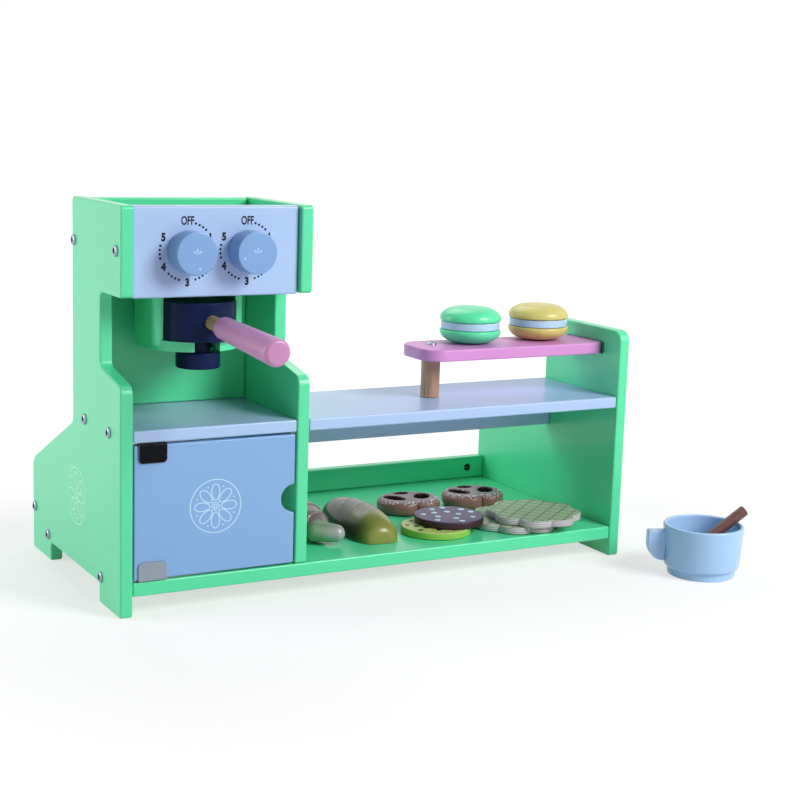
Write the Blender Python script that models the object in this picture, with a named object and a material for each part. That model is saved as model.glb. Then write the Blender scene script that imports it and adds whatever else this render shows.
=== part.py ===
# Wooden toy coffee shop: a coffee machine with a cabinet, a counter with two shelves,
# loose bakery pieces and a cup. Lengths are in metres, +Z is up.
# The shop's own frame has X from the left panel's outer face, Y from the boards' front
# faces towards the back, and Z from the floor.

import bpy
import bmesh
from math import acos, asin, ceil, cos, pi, radians, sin, sqrt, tan
from mathutils import Matrix, Vector

# Clearances shared by the whole part
GAP = 0.0003                # between pieces that touch
OVERRUN = 0.002             # how far a cut runs past a face
BORE_CLEARANCE = 0.0004     # between a shank and its hole, on the radius
FINE_ARC_RADIUS = 0.0045    # arcs larger than this get finer steps
COARSE_STEP = radians(45)
FINE_STEP = radians(15)

# Boards
BOARD = 0.009               # panels, door, backs, bracket
BASE_BOARD = 0.010
SHELF_BOARD = 0.0086
EDGE_ROUND = 0.0013
CONTROL_EDGE_ROUND = 0.0018
MACHINE_WIDTH = 0.138       # outside, over both side panels
HEAD_HEIGHT = 0.0604        # from the mouth's top edge to the machine's top
HEAD_ROOM = 0.002           # from the bracket's cheeks to the mouth's top edge
SHOP_DEPTH = 0.200          # at the floor
NECK_DEPTH = 0.1004         # above the counter
BASE_TOP = 0.024
COUNTER_TOP = 0.1278
END_OVER_COUNTER = 0.0517   # height of the end panel over the counter
SLOPE_LOW = 0.0707          # where the back's slope leaves the upright part
SLOPE_UNDER_COUNTER = 0.0104    # from the counter down to the slope's upper end
SLOPE_LOW_ROUND = 0.012
SLOPE_HIGH_ROUND = 0.008
ARCH_FRONT = 0.043
ARCH_BACK = 0.1546
ARCH_HEIGHT = 0.0139
ARCH_ROUND = 0.002
MOUTH_DEPTH = 0.0413
MOUTH_SLOPE_BACK = 0.038    # height of the mouth's lower edge over the tray, at its back
MOUTH_SLOPE_FRONT = 0.0301
MOUTH_INNER_ROUND = 0.005
MOUTH_LIP_ROUND = 0.008
CORNER_ROUND = 0.003
END_FRONT_ROUND = 0.009
FRONT_SETBACK = 0.0006      # shelves and base behind the panels' front faces
HEAD_LIP = 0.0006           # boards in the head stay this far under the panels' top
BACK_SETBACK = 0.0002       # of the back board, from the panels' upper back edge
RAIL_SETBACK = 0.0015
RAIL_HEIGHT = 0.019
APRON_SETBACK = 0.0014
APRON_HEIGHT = 0.029
CONTROL_SETBACK = 0.0041
CONTROL_OVERHANG = 0.0008   # below the mouth's top edge

# Door and its clips
DOOR_SIDE_GAP = 0.0008
DOOR_FREE_GAP = 0.0015
DOOR_END_GAP = 0.0015
DOOR_FRONT = 0.0002
DOOR_EDGE_ROUND = 0.0015
NOTCH_RADIUS = 0.010
NOTCH_OVER_BASE = 0.0482
PIVOT_INSET = 0.0062        # pin's axis from the door's hinged edge
PIVOT_BEHIND_FRONT = 0.003
CLIP_SHEET = 0.0008
CLIP_WIDTH = 0.020
CLIP_HEIGHT = 0.0132
CLIP_INSET = 0.0028         # clip's side from the door's edge
CLIP_CORNER = 0.003
CLIP_WRAP = 0.0072          # how far the flange reaches back
PIN_RADIUS = 0.0019
PIN_LENGTH = 0.005
STOP_WIDTH = 0.009
STOP_DEPTH = 0.009
STOP_HEIGHT = 0.014
STOP_UNDER_TRAY = 0.006

# Knobs
KNOB_SPACING = 0.0428
KNOB_UNDER_TOP = 0.0309     # of its centre, under the machine's top
KNOB_RADIUS = 0.01425
KNOB_HEIGHT = 0.0176
KNOB_STANDOFF = 0.0005
KNOB_FRONT_ROUND = 0.0009
KNOB_BACK_ROUND = 0.0022
KNOB_SCREW_RADIUS = 0.0022
KNOB_SCREW_DEPTH = 0.011    # into the knob
KNOB_HEAD_RADIUS = 0.0052
KNOB_HEAD_HEIGHT = 0.0028

# Bracket of the filter holder
HOLDER_WIDTH = 0.067
HOLDER_BOARD = 0.007        # thickness of its plate and cheeks
HOLDER_FRONT = 0.019
HOLDER_FRONT_ROUND = 0.032
HOLDER_BACK = 0.0715        # its back end, short of the back board
CHEEK_FRONT = 0.0343
CHEEK_CORNER = 0.0055
CHEEK_OVER_FILTER = 0.004
SLOT_WIDTH = 0.0185

# Filter holder
FILTER_CENTRE_Y = 0.037
FILTER_RADIUS = 0.026
FILTER_HEIGHT = 0.0272
FILTER_EDGE_ROUND = 0.0012
NECK_RADIUS = 0.0087
SPOUT_RADIUS = 0.0154
SPOUT_HEIGHT = 0.0112
SPOUT_DROP = 0.0129         # of the spout's underside below the bracket
SPOUT_EDGE_ROUND = 0.001
CUP_ROOM = 0.0348           # between the tray and the spout
HANDLE_DROOP = radians(3)
HANDLE_ROOT_HEIGHT = 0.0137     # of its axis over the filter's underside, at the filter's face
HANDLE_NECK_LENGTH = 0.019      # of bare dowel
HANDLE_LENGTH = 0.087
HANDLE_ROOT_RADIUS = 0.0078
HANDLE_END_RADIUS = 0.0092
HANDLE_ROOT_ROUND = 0.0015
HANDLE_END_ROUND = 0.003
DOWEL_RADIUS = 0.005
DOWEL_IN_FILTER = 0.013
DOWEL_IN_HANDLE = 0.016

# Small shelf on the counter
DISPLAY_FRONT = 0.021
DISPLAY_DEPTH = 0.0505
DISPLAY_UNDER_END = 0.0115  # of its top, under the end panel's top
DISPLAY_CORNER = 0.016
DISPLAY_END_CORNER = 0.012  # of the end in the end panel
MORTISE_DEPTH = 0.0033      # pocket in the end panel that takes the shelf's end
MORTISE_MARGIN = 0.0004
MORTISE_CORNER = 0.003
POST_INSET = (0.0190, 0.030)    # of its centre, from the shelf's left end and front
POST_RADIUS = 0.0072
POST_SCREW_RADIUS = 0.0019
POST_SCREW_LENGTH = 0.024
SCREW_HEAD_RADIUS = 0.004
SCREW_HEAD_HEIGHT = 0.0018

# Connector bolts
BOLT_RADIUS = 0.0021
BOLT_LENGTH = 0.026
BOLT_HEAD_RADIUS = 0.0039
BOLT_HEAD_HEIGHT = 0.0016
HEAD_CHAMFER = 0.0007
BASE_BOLTS_Y = (0.0393, 0.1608)
TRAY_BOLTS_Y = (0.0227, 0.0735)
HEAD_BOLTS_UNDER_TOP = 0.0301
NUT_RADIUS = 0.003
NUT_INSET = 0.0168          # from the end panel's inner face

# Macaroons
MACAROON_RADIUS = 0.0236
MACAROON_SHELL = 0.0105
MACAROON_FLAT_RADIUS = 0.009
MACAROON_BULGE = 0.0088     # height of the widest place over the shell's flat
MACAROON_EDGE_ROUND = 0.0014
FILLING_HEIGHT = 0.0058
FILLING_RADIUS = 0.0226
MACAROON_SPACING = 0.0642
YELLOW_FROM_END = 0.0407        # of its centre, from the end panel's inner face
GREEN_FROM_POST = 0.0347
GREEN_DEPTH = 0.0312            # of its centre, behind the shelf's front
YELLOW_DEPTH = 0.0335

# Bakery on the base board
BAKE_THICKNESS = 0.0055         # cookies and waffles are cut from one board
COOKIE_RADIUS = 0.0269
COOKIE_CHAMFER = 0.0008
COOKIE_DEPTH = 0.0392           # of the lower one's centre, behind the front plane
COOKIE_SHIFT = (0.014, 0.0039)  # of the upper one
WAFFLE_RADIUS = 0.0372
WAFFLE_LOBES = 8
WAFFLE_LOBE_RADIUS = 0.0145
WAFFLE_TURN = radians(14.25)
WAFFLE_DEPTH = 0.0382
WAFFLE_SHIFT = (0.0124, -0.0087)
PRETZEL_HALF_WIDTH = 0.0262
PRETZEL_HALF_DEPTH = 0.0222
PRETZEL_THICKNESS = 0.0112
PRETZEL_ROUND = 0.0042
PRETZEL_HOLE_ROUND = 0.0022
PRETZEL_DEPTH = 0.1045
PRETZEL_TURN = radians(-4)
LOAF_DEPTH = 0.0695
LOAF_HALF_LENGTH = 0.0465
LOAF_HALF_WIDTH = 0.0205
LOAF_HEIGHT = 0.0208
LOAF_TURN = radians(-4)
CROISSANT_DEPTH = 0.069
CROISSANT_MIDDLE = (0.0155, 0.0135)     # half length and radius of each roll
CROISSANT_SIDE = (0.0128, 0.012)
CROISSANT_HORN = (0.0130, 0.0073)
CROISSANT_SIDE_PLACE = (-0.001, 0.0245)
CROISSANT_SIDE_SLANT = radians(8)
CROISSANT_HORN_PLACE = (0.0055, 0.0318)
CROISSANT_HORN_SLANT = radians(52)
CROISSANT_HORN_LIFT = 0.0022
ROOM_BY_MACHINE = 0.0305        # from the machine to the croissant's centre
ROOM_BY_CROISSANT = 0.0473      # from there to the loaf's centre
ROOM_BY_LOAF = 0.0036           # between the loaf and the lower cookie
ROOM_BY_COOKIE = 0.0069         # between the lower cookie and the lower waffle
ROOM_BY_WAFFLE = 0.0165         # between the upper waffle and the end panel
ROOM_BY_PRETZEL = 0.0082        # between the pretzels
PRETZEL_SHIFT = 0.0128          # of the left pretzel, from the lower cookie's centre

# Cup and stick
CUP_PLACE = (0.0281, -0.0677)   # from the shop's right side and the front plane
CUP_RIM_RADIUS = 0.0305
CUP_LOW_RADIUS = 0.0284
CUP_HEIGHT = 0.039
CUP_WALL = 0.003
CUP_FLOOR = 0.006
CUP_FOOT_RADIUS = 0.0256
CUP_FOOT_HEIGHT = 0.0062
CUP_STEP_ROUND = 0.0025
CUP_RIM_ROUND = 0.0012
CUP_HANDLE_REACH = 0.0430
CUP_HANDLE_TOP = 0.0338
CUP_HANDLE_LOW = 0.0106
CUP_HANDLE_THICKNESS = 0.0085
CUP_HANDLE_ROUND = 0.0018
CUP_HANDLE_ANGLE = radians(153)
STICK_RADIUS = 0.0042
STICK_LENGTH = 0.0652
STICK_RISE = radians(37)
STICK_HEADING = radians(-15)

# Colours, roughness and metallic values
FINISHES = {
    "mint_paint": ((0.22, 0.80, 0.47), 0.42, 0.0),
    "pale_blue_paint": ((0.52, 0.66, 0.92), 0.42, 0.0),
    "door_blue_paint": ((0.27, 0.45, 0.83), 0.45, 0.0),
    "knob_paint": ((0.26, 0.38, 0.68), 0.48, 0.0),
    "navy_paint": ((0.03, 0.06, 0.18), 0.38, 0.0),
    "pink_paint": ((0.74, 0.33, 0.70), 0.42, 0.0),
    "beech": ((0.46, 0.31, 0.20), 0.6, 0.0),
    "plywood": ((0.50, 0.42, 0.24), 0.65, 0.0),
    "yellow_paint": ((0.68, 0.56, 0.14), 0.42, 0.0),
    "filling_paint": ((0.62, 0.74, 0.93), 0.42, 0.0),
    "crust_paint": ((0.30, 0.23, 0.07), 0.4, 0.0),
    "croissant_paint": ((0.32, 0.22, 0.13), 0.45, 0.0),
    "pretzel_paint": ((0.21, 0.10, 0.07), 0.45, 0.0),
    "cookie_yellow_paint": ((0.62, 0.72, 0.13), 0.45, 0.0),
    "chocolate_paint": ((0.11, 0.045, 0.055), 0.4, 0.0),
    "cup_paint": ((0.35, 0.56, 0.88), 0.42, 0.0),
    "brown_stain": ((0.15, 0.09, 0.085), 0.55, 0.0),
    "bright_zinc": ((0.70, 0.71, 0.72), 0.28, 1.0),
    "dark_steel": ((0.05, 0.05, 0.055), 0.4, 1.0),
}

# Heights that follow from the floor up
BASE_BOTTOM = BASE_TOP - BASE_BOARD
RAIL_TOP = BASE_TOP + RAIL_HEIGHT
COUNTER_BOTTOM = COUNTER_TOP - SHELF_BOARD
SLOPE_HIGH = COUNTER_TOP - SLOPE_UNDER_COUNTER
END_HEIGHT = COUNTER_TOP + END_OVER_COUNTER
DISPLAY_TOP = END_HEIGHT - DISPLAY_UNDER_END
SPOUT_BOTTOM = COUNTER_TOP + CUP_ROOM
HOLDER_BOTTOM = SPOUT_BOTTOM + SPOUT_DROP
HOLDER_TOP = HOLDER_BOTTOM + HOLDER_BOARD
FILTER_BOTTOM = HOLDER_TOP + GAP
CHEEK_TOP = FILTER_BOTTOM + FILTER_HEIGHT + CHEEK_OVER_FILTER
MOUTH_TOP = CHEEK_TOP + HEAD_ROOM
CONTROL_BOTTOM = MOUTH_TOP - CONTROL_OVERHANG
MACHINE_HEIGHT = MOUTH_TOP + HEAD_HEIGHT
KNOB_CENTRE_Z = MACHINE_HEIGHT - KNOB_UNDER_TOP
HEAD_BOLTS_Z = MACHINE_HEIGHT - HEAD_BOLTS_UNDER_TOP

# Places from left to right; the bakery sets where the end panel stands
LEFT_FACE = BOARD                                # the machine's inner faces
RIGHT_FACE = MACHINE_WIDTH - BOARD
MACHINE_CENTRE_X = MACHINE_WIDTH / 2
CROISSANT_CENTRE = (MACHINE_WIDTH + ROOM_BY_MACHINE, CROISSANT_DEPTH)
LOAF_CENTRE = (CROISSANT_CENTRE[0] + ROOM_BY_CROISSANT, LOAF_DEPTH)
LOAF_RIGHT = LOAF_CENTRE[0] + LOAF_HALF_WIDTH
LOWER_COOKIE_CENTRE = (LOAF_RIGHT + ROOM_BY_LOAF + COOKIE_RADIUS, COOKIE_DEPTH)
UPPER_COOKIE_CENTRE = (LOWER_COOKIE_CENTRE[0] + COOKIE_SHIFT[0], COOKIE_DEPTH + COOKIE_SHIFT[1])
COOKIE_RIGHT = LOWER_COOKIE_CENTRE[0] + COOKIE_RADIUS
LOWER_WAFFLE_CENTRE = (COOKIE_RIGHT + ROOM_BY_COOKIE + WAFFLE_RADIUS, WAFFLE_DEPTH)
UPPER_WAFFLE_CENTRE = (LOWER_WAFFLE_CENTRE[0] + WAFFLE_SHIFT[0], WAFFLE_DEPTH + WAFFLE_SHIFT[1])
LEFT_PRETZEL_CENTRE = (LOWER_COOKIE_CENTRE[0] + PRETZEL_SHIFT, PRETZEL_DEPTH)
PRETZEL_SPACING = 2 * PRETZEL_HALF_WIDTH + ROOM_BY_PRETZEL
RIGHT_PRETZEL_CENTRE = (LEFT_PRETZEL_CENTRE[0] + PRETZEL_SPACING, PRETZEL_DEPTH)
END_FACE = UPPER_WAFFLE_CENTRE[0] + WAFFLE_RADIUS + ROOM_BY_WAFFLE
SHOP_LENGTH = END_FACE + BOARD
YELLOW_CENTRE = (END_FACE - YELLOW_FROM_END, DISPLAY_FRONT + YELLOW_DEPTH)
GREEN_CENTRE = (YELLOW_CENTRE[0] - MACAROON_SPACING, DISPLAY_FRONT + GREEN_DEPTH)
POST_CENTRE = (GREEN_CENTRE[0] - GREEN_FROM_POST, DISPLAY_FRONT + POST_INSET[1])
DISPLAY_LEFT = POST_CENTRE[0] - POST_INSET[0]
CUP_CENTRE = (SHOP_LENGTH + CUP_PLACE[0], CUP_PLACE[1])

# Places from front to back
BACK_FRONT_FACE = NECK_DEPTH - BACK_SETBACK - BOARD
APRON_FRONT_FACE = NECK_DEPTH - APRON_SETBACK - BOARD
RAIL_FRONT_FACE = SHOP_DEPTH - RAIL_SETBACK - BOARD
FILTER_FACE = FILTER_CENTRE_Y - FILTER_RADIUS

# What follows from the bolts, the cup and the stick
SHANK_END = BOLT_LENGTH - BOARD                  # how far a bolt reaches past its panel
STICK_REACH = CUP_RIM_RADIUS - CUP_WALL - STICK_RADIUS * sin(STICK_RISE)


def clear_scene():
    for thing in list(bpy.data.objects):
        bpy.data.objects.remove(thing, do_unlink=True)


def finish(name):
    """The named Principled material, made once."""
    found = bpy.data.materials.get(name)
    if found:
        return found
    colour, roughness, metallic = FINISHES[name]
    material = bpy.data.materials.new(name)
    material.use_nodes = True
    shader = material.node_tree.nodes["Principled BSDF"]
    shader.inputs["Base Color"].default_value = (*colour, 1.0)
    shader.inputs["Roughness"].default_value = roughness
    shader.inputs["Metallic"].default_value = metallic
    material.diffuse_color = (*colour, 1.0)
    return material


def empty(name, place, parent=None):
    """An empty that carries pieces, at a place in the shop's frame."""
    thing = bpy.data.objects.new(name, None)
    bpy.context.collection.objects.link(thing)
    thing.parent = parent
    offset = parent["place"] if parent else (0, 0, 0)
    thing["place"] = place
    thing.location = Vector(place) - Vector(offset)
    return thing


def add(name, mesh_data, paint, carrier, place=(0, 0, 0), turn=None):
    """Link a mesh as an object whose origin is at a place in the shop's frame."""
    thing = bpy.data.objects.new(name, mesh_data)
    bpy.context.collection.objects.link(thing)
    thing.parent = carrier
    thing.location = Vector(place) - Vector(carrier["place"])
    if turn is not None:
        thing.rotation_mode = "XYZ"
        thing.rotation_euler = turn
    if paint:
        thing.data.materials.append(finish(paint))
    return thing


def as_guide(thing):
    """Keep a cutter or a joined shape out of the model itself."""
    thing.hide_render = True
    thing.display_type = "WIRE"
    return thing


def boolean(thing, other, operation="DIFFERENCE"):
    step = thing.modifiers.new(operation.lower(), "BOOLEAN")
    step.operation = operation
    step.solver = "EXACT"
    step.object = as_guide(other)


def soften(thing, width=EDGE_ROUND):
    """Chamfer a board's sharp edges; the steps of its arcs stay as they are."""
    step = thing.modifiers.new("soft_edges", "BEVEL")
    step.width = width
    step.segments = 1
    step.limit_method = "ANGLE"
    step.angle_limit = radians(50)


def smooth(mesh_data):
    mesh_data.shade_smooth()
    mesh_data.set_sharp_from_angle(angle=radians(35))


def fillet(corners, radii, closed=True):
    """Points along an outline whose corners are rounded with the given radii."""
    points = []
    count = len(corners)
    for index, corner in enumerate(corners):
        here = Vector(corner)
        at_end = not closed and index in (0, count - 1)
        radius = radii[index]
        if at_end or radius == 0:
            points.append(here)
            continue
        before = (Vector(corners[index - 1]) - here).normalized()
        after = (Vector(corners[(index + 1) % count]) - here).normalized()
        half = acos(max(-1.0, min(1.0, before.dot(after)))) / 2
        middle = here + (before + after).normalized() * (radius / sin(half))
        sweep = pi - 2 * half
        step = FINE_STEP if radius > FINE_ARC_RADIUS else COARSE_STEP
        parts = max(2, ceil(sweep / step))
        start = here + before * (radius / tan(half)) - middle
        direction = 1 if before.x * after.y - before.y * after.x < 0 else -1
        for part in range(parts + 1):
            angle = direction * sweep * part / parts
            turned_point = Vector((
                start.x * cos(angle) - start.y * sin(angle),
                start.x * sin(angle) + start.y * cos(angle),
            ))
            points.append(middle + turned_point)
    return [(point.x, point.y) for point in points]


def prism(outline, axis, start, depth):
    """A mesh that pulls an outline along an axis. Its plane is YZ, XZ or XY."""
    layout = {
        "X": lambda u, v, w: (w, u, v),
        "Y": lambda u, v, w: (u, w, v),
        "Z": lambda u, v, w: (u, v, w),
    }[axis]
    form = bmesh.new()
    near = [form.verts.new(layout(u, v, start)) for u, v in outline]
    far = [form.verts.new(layout(u, v, start + depth)) for u, v in outline]
    form.faces.new(near)
    form.faces.new(far)
    for index in range(len(near)):
        follow = (index + 1) % len(near)
        form.faces.new((near[index], near[follow], far[follow], far[index]))
    return as_mesh(form)


def as_mesh(form, merge=0):
    if merge:
        bmesh.ops.remove_doubles(form, verts=form.verts, dist=merge)
    bmesh.ops.recalc_face_normals(form, faces=form.faces)
    mesh_data = bpy.data.meshes.new("form")
    form.to_mesh(mesh_data)
    form.free()
    return mesh_data


def block(low, high):
    """A box mesh between two corners."""
    outline = [(low[0], low[1]), (high[0], low[1]), (high[0], high[1]), (low[0], high[1])]
    return prism(outline, "Z", low[2], high[2] - low[2])


def turned(profile, sides):
    """A lathed mesh about its own Z. The profile runs from the axis back to the axis."""
    form = bmesh.new()
    rings = []
    for radius, height in profile:
        if radius == 0:
            rings.append([form.verts.new((0, 0, height))])
            continue
        ring = []
        for side in range(sides):
            angle = 2 * pi * side / sides
            ring.append(form.verts.new((radius * cos(angle), radius * sin(angle), height)))
        rings.append(ring)
    join_rings(form, rings)
    mesh_data = as_mesh(form)
    smooth(mesh_data)
    return mesh_data


def join_rings(form, rings):
    """Faces between neighbouring rings; a ring of one point is a pole."""
    for lower, upper in zip(rings, rings[1:]):
        count = max(len(lower), len(upper))
        for index in range(count):
            follow = (index + 1) % count
            corners = [lower[index % len(lower)], lower[follow % len(lower)]]
            corners += [upper[follow % len(upper)], upper[index % len(upper)]]
            form.faces.new(list(dict.fromkeys(corners)))


def rod(radius, start, end, sides=12):
    """A plain cylinder mesh about its own Z."""
    return turned([(0, start), (radius, start), (radius, end), (0, end)], sides)


def drill(thing, carrier, place, direction, radius, depth, sides=8):
    """Cut a round hole that starts outside the face at a place and runs along a direction."""
    turn = Vector(direction).to_track_quat("Z", "Y").to_euler()
    name = f"{thing.name}_hole_{len(thing.modifiers)}"
    boolean(thing, add(name, rod(radius, -OVERRUN, depth, sides), None, carrier, place, turn))


def board(name, corners, radii, axis, start, paint, carrier, thickness=BOARD, edge=EDGE_ROUND):
    """A flat board with rounded corners and soft edges."""
    outline = fillet(corners, radii)
    thing = add(name, prism(outline, axis, start, thickness), paint, carrier)
    soften(thing, edge)
    return thing


def plain_board(name, low, high, paint, carrier, edge=EDGE_ROUND):
    """A rectangular board between two corners."""
    thing = add(name, block(low, high), paint, carrier)
    soften(thing, edge)
    return thing


def slope_at(depth):
    """Height of the back's slope at a depth, for a panel that ends short of the full depth."""
    share = (SHOP_DEPTH - depth) / (SHOP_DEPTH - NECK_DEPTH)
    return SLOPE_LOW + share * (SLOPE_HIGH - SLOPE_LOW)


def tower_corners(bottom_corners, bottom_radii):
    """A side panel of the machine: its own bottom, then the shared head, mouth and lip."""
    upper = [
        (NECK_DEPTH, MACHINE_HEIGHT),
        (0, MACHINE_HEIGHT),
        (0, MOUTH_TOP),
        (MOUTH_DEPTH, MOUTH_TOP),
        (MOUTH_DEPTH, COUNTER_TOP + MOUTH_SLOPE_BACK),
        (0, COUNTER_TOP + MOUTH_SLOPE_FRONT),
    ]
    upper_radii = [CORNER_ROUND] * 3 + [MOUTH_INNER_ROUND] * 2 + [MOUTH_LIP_ROUND]
    return bottom_corners + upper, bottom_radii + upper_radii


def foot_corners(depth):
    """The two feet and the arch between them."""
    corners = [
        (0, 0),
        (ARCH_FRONT, 0),
        (ARCH_FRONT, ARCH_HEIGHT),
        (ARCH_BACK, ARCH_HEIGHT),
        (ARCH_BACK, 0),
        (depth, 0),
    ]
    radii = [ARCH_ROUND] * len(corners)
    return corners, radii


def make_panels(shop):
    corners, radii = foot_corners(SHOP_DEPTH)
    corners += [(SHOP_DEPTH, SLOPE_LOW), (NECK_DEPTH, SLOPE_HIGH)]
    radii += [SLOPE_LOW_ROUND, SLOPE_HIGH_ROUND]
    left = board("left_panel", *tower_corners(corners, radii), "X", 0, "mint_paint", shop)

    bottom = BASE_TOP + GAP
    back = RAIL_FRONT_FACE - GAP
    corners = [(0, bottom), (back, bottom), (back, slope_at(back)), (NECK_DEPTH, SLOPE_HIGH)]
    radii = [ARCH_ROUND, ARCH_ROUND, CORNER_ROUND, SLOPE_HIGH_ROUND]
    middle = board("middle_panel", *tower_corners(corners, radii), "X", RIGHT_FACE, "mint_paint", shop)

    corners, radii = foot_corners(SHOP_DEPTH)
    corners += [
        (SHOP_DEPTH, SLOPE_LOW),
        (NECK_DEPTH, SLOPE_HIGH),
        (NECK_DEPTH, END_HEIGHT),
        (0, END_HEIGHT),
    ]
    radii += [SLOPE_LOW_ROUND, SLOPE_HIGH_ROUND, CORNER_ROUND, END_FRONT_ROUND]
    end = board("right_end_panel", corners, radii, "X", END_FACE, "mint_paint", shop)
    return left, middle, end


def make_boards(shop):
    """The boards between the panels."""
    made = {}
    made["base"] = plain_board(
        "base_board",
        (LEFT_FACE + GAP, FRONT_SETBACK, BASE_BOTTOM),
        (END_FACE - GAP, SHOP_DEPTH - FRONT_SETBACK, BASE_TOP),
        "mint_paint", shop,
    )
    made["tray"] = plain_board(
        "machine_tray",
        (LEFT_FACE + GAP, FRONT_SETBACK, COUNTER_BOTTOM),
        (RIGHT_FACE - GAP, NECK_DEPTH, COUNTER_TOP),
        "pale_blue_paint", shop,
    )
    made["back"] = plain_board(
        "back_board",
        (LEFT_FACE + GAP, BACK_FRONT_FACE, COUNTER_TOP + GAP),
        (RIGHT_FACE - GAP, BACK_FRONT_FACE + BOARD, MACHINE_HEIGHT - HEAD_LIP),
        "mint_paint", shop,
    )
    made["control"] = plain_board(
        "control_panel",
        (LEFT_FACE + GAP, CONTROL_SETBACK, CONTROL_BOTTOM),
        (RIGHT_FACE - GAP, CONTROL_SETBACK + BOARD, MACHINE_HEIGHT - HEAD_LIP),
        "pale_blue_paint", shop, CONTROL_EDGE_ROUND,
    )
    made["counter"] = plain_board(
        "counter_shelf",
        (MACHINE_WIDTH + GAP, FRONT_SETBACK, COUNTER_BOTTOM),
        (END_FACE - GAP, NECK_DEPTH, COUNTER_TOP),
        "pale_blue_paint", shop,
    )
    made["apron"] = plain_board(
        "shelf_apron",
        (MACHINE_WIDTH + GAP, APRON_FRONT_FACE, COUNTER_BOTTOM - GAP - APRON_HEIGHT),
        (END_FACE - GAP, APRON_FRONT_FACE + BOARD, COUNTER_BOTTOM - GAP),
        "pale_blue_paint", shop,
    )
    made["rail"] = plain_board(
        "back_rail",
        (LEFT_FACE + GAP, RAIL_FRONT_FACE, BASE_TOP + GAP),
        (END_FACE - GAP, RAIL_FRONT_FACE + BOARD, RAIL_TOP),
        "mint_paint", shop,
    )
    return made


def bolt_mesh():
    """Shank along -Z from the panel's face, with a chamfered head above it."""
    return screw_mesh(BOLT_RADIUS, BOLT_LENGTH, BOLT_HEAD_RADIUS, BOLT_HEAD_HEIGHT)


def screw_mesh(radius, length, head_radius, head_height):
    profile = [
        (0, -length),
        (radius, -length),
        (radius, GAP),
        (head_radius, GAP),
        (head_radius, head_height - HEAD_CHAMFER),
        (head_radius - HEAD_CHAMFER, head_height),
        (0, head_height),
    ]
    return turned(profile, 8)


def make_bolts(shop, panels, boards):
    """Connector bolts through the panels into the boards' ends, each in its own hole."""
    left, middle, end = panels
    mesh_data = bolt_mesh()
    base_height = BASE_TOP - BASE_BOARD / 2
    tray_height = COUNTER_TOP - SHELF_BOARD / 2
    rail_place = (RAIL_FRONT_FACE + BOARD / 2, (BASE_TOP + RAIL_TOP) / 2)
    back_y = BACK_FRONT_FACE + BOARD / 2
    control_y = CONTROL_SETBACK + BOARD / 2
    post_row = DISPLAY_FRONT + DISPLAY_DEPTH / 2
    display_z = DISPLAY_TOP - BOARD / 2
    base_places = [(y, base_height, boards["base"]) for y in BASE_BOLTS_Y]
    head_places = [
        (back_y, HEAD_BOLTS_Z, boards["back"]),
        (control_y, HEAD_BOLTS_Z, boards["control"]),
    ]
    left_places = base_places + head_places
    left_places += [(y, tray_height, boards["tray"]) for y in TRAY_BOLTS_Y]
    left_places += [(*rail_place, boards["rail"])]
    right_places = base_places + [(y, tray_height, boards["counter"]) for y in TRAY_BOLTS_Y]
    right_places += [(*rail_place, boards["rail"]), (post_row, display_z, boards["display"])]
    recess = {boards["display"]: MORTISE_DEPTH}
    rows = [
        ("left_bolt", left, 0, -1, left_places),
        ("middle_bolt", middle, MACHINE_WIDTH, 1, head_places),
        ("right_bolt", end, SHOP_LENGTH, 1, right_places),
    ]
    bore = BOLT_RADIUS + BORE_CLEARANCE
    for name, panel, face, side, places in rows:
        turn = (0, side * pi / 2, 0)
        inward = (-side, 0, 0)
        inner_face = face - side * BOARD
        for number, (y, z, receiver) in enumerate(places, 1):
            bolt = add(f"{name}_{number}", mesh_data.copy(), None, shop, (face, y, z), turn)
            bolt.data.materials.append(finish("bright_zinc"))
            drill(panel, shop, (face, y, z), inward, bore, BOARD + OVERRUN)
            into_panel = recess.get(receiver, 0)
            near = inner_face + side * into_panel
            drill(receiver, shop, (near, y, z), inward, bore, SHANK_END + OVERRUN + into_panel)


def make_rail_nut(shop, rail):
    """Barrel nut that takes the rail's right bolt, seen in the rail's face."""
    place = (END_FACE - NUT_INSET, RAIL_FRONT_FACE, (BASE_TOP + RAIL_TOP) / 2)
    turn = (-pi / 2, 0, 0)
    length = BOARD - GAP
    nut = add("rail_barrel_nut", rod(NUT_RADIUS, GAP, length), "dark_steel", shop, place, turn)
    thread = (END_FACE, RAIL_FRONT_FACE + BOARD / 2, place[2])
    through = NUT_INSET + NUT_RADIUS + OVERRUN
    drill(nut, shop, thread, (-1, 0, 0), BOLT_RADIUS + GAP, through)
    drill(rail, shop, place, (0, 1, 0), NUT_RADIUS + BORE_CLEARANCE, BOARD + OVERRUN)


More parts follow.
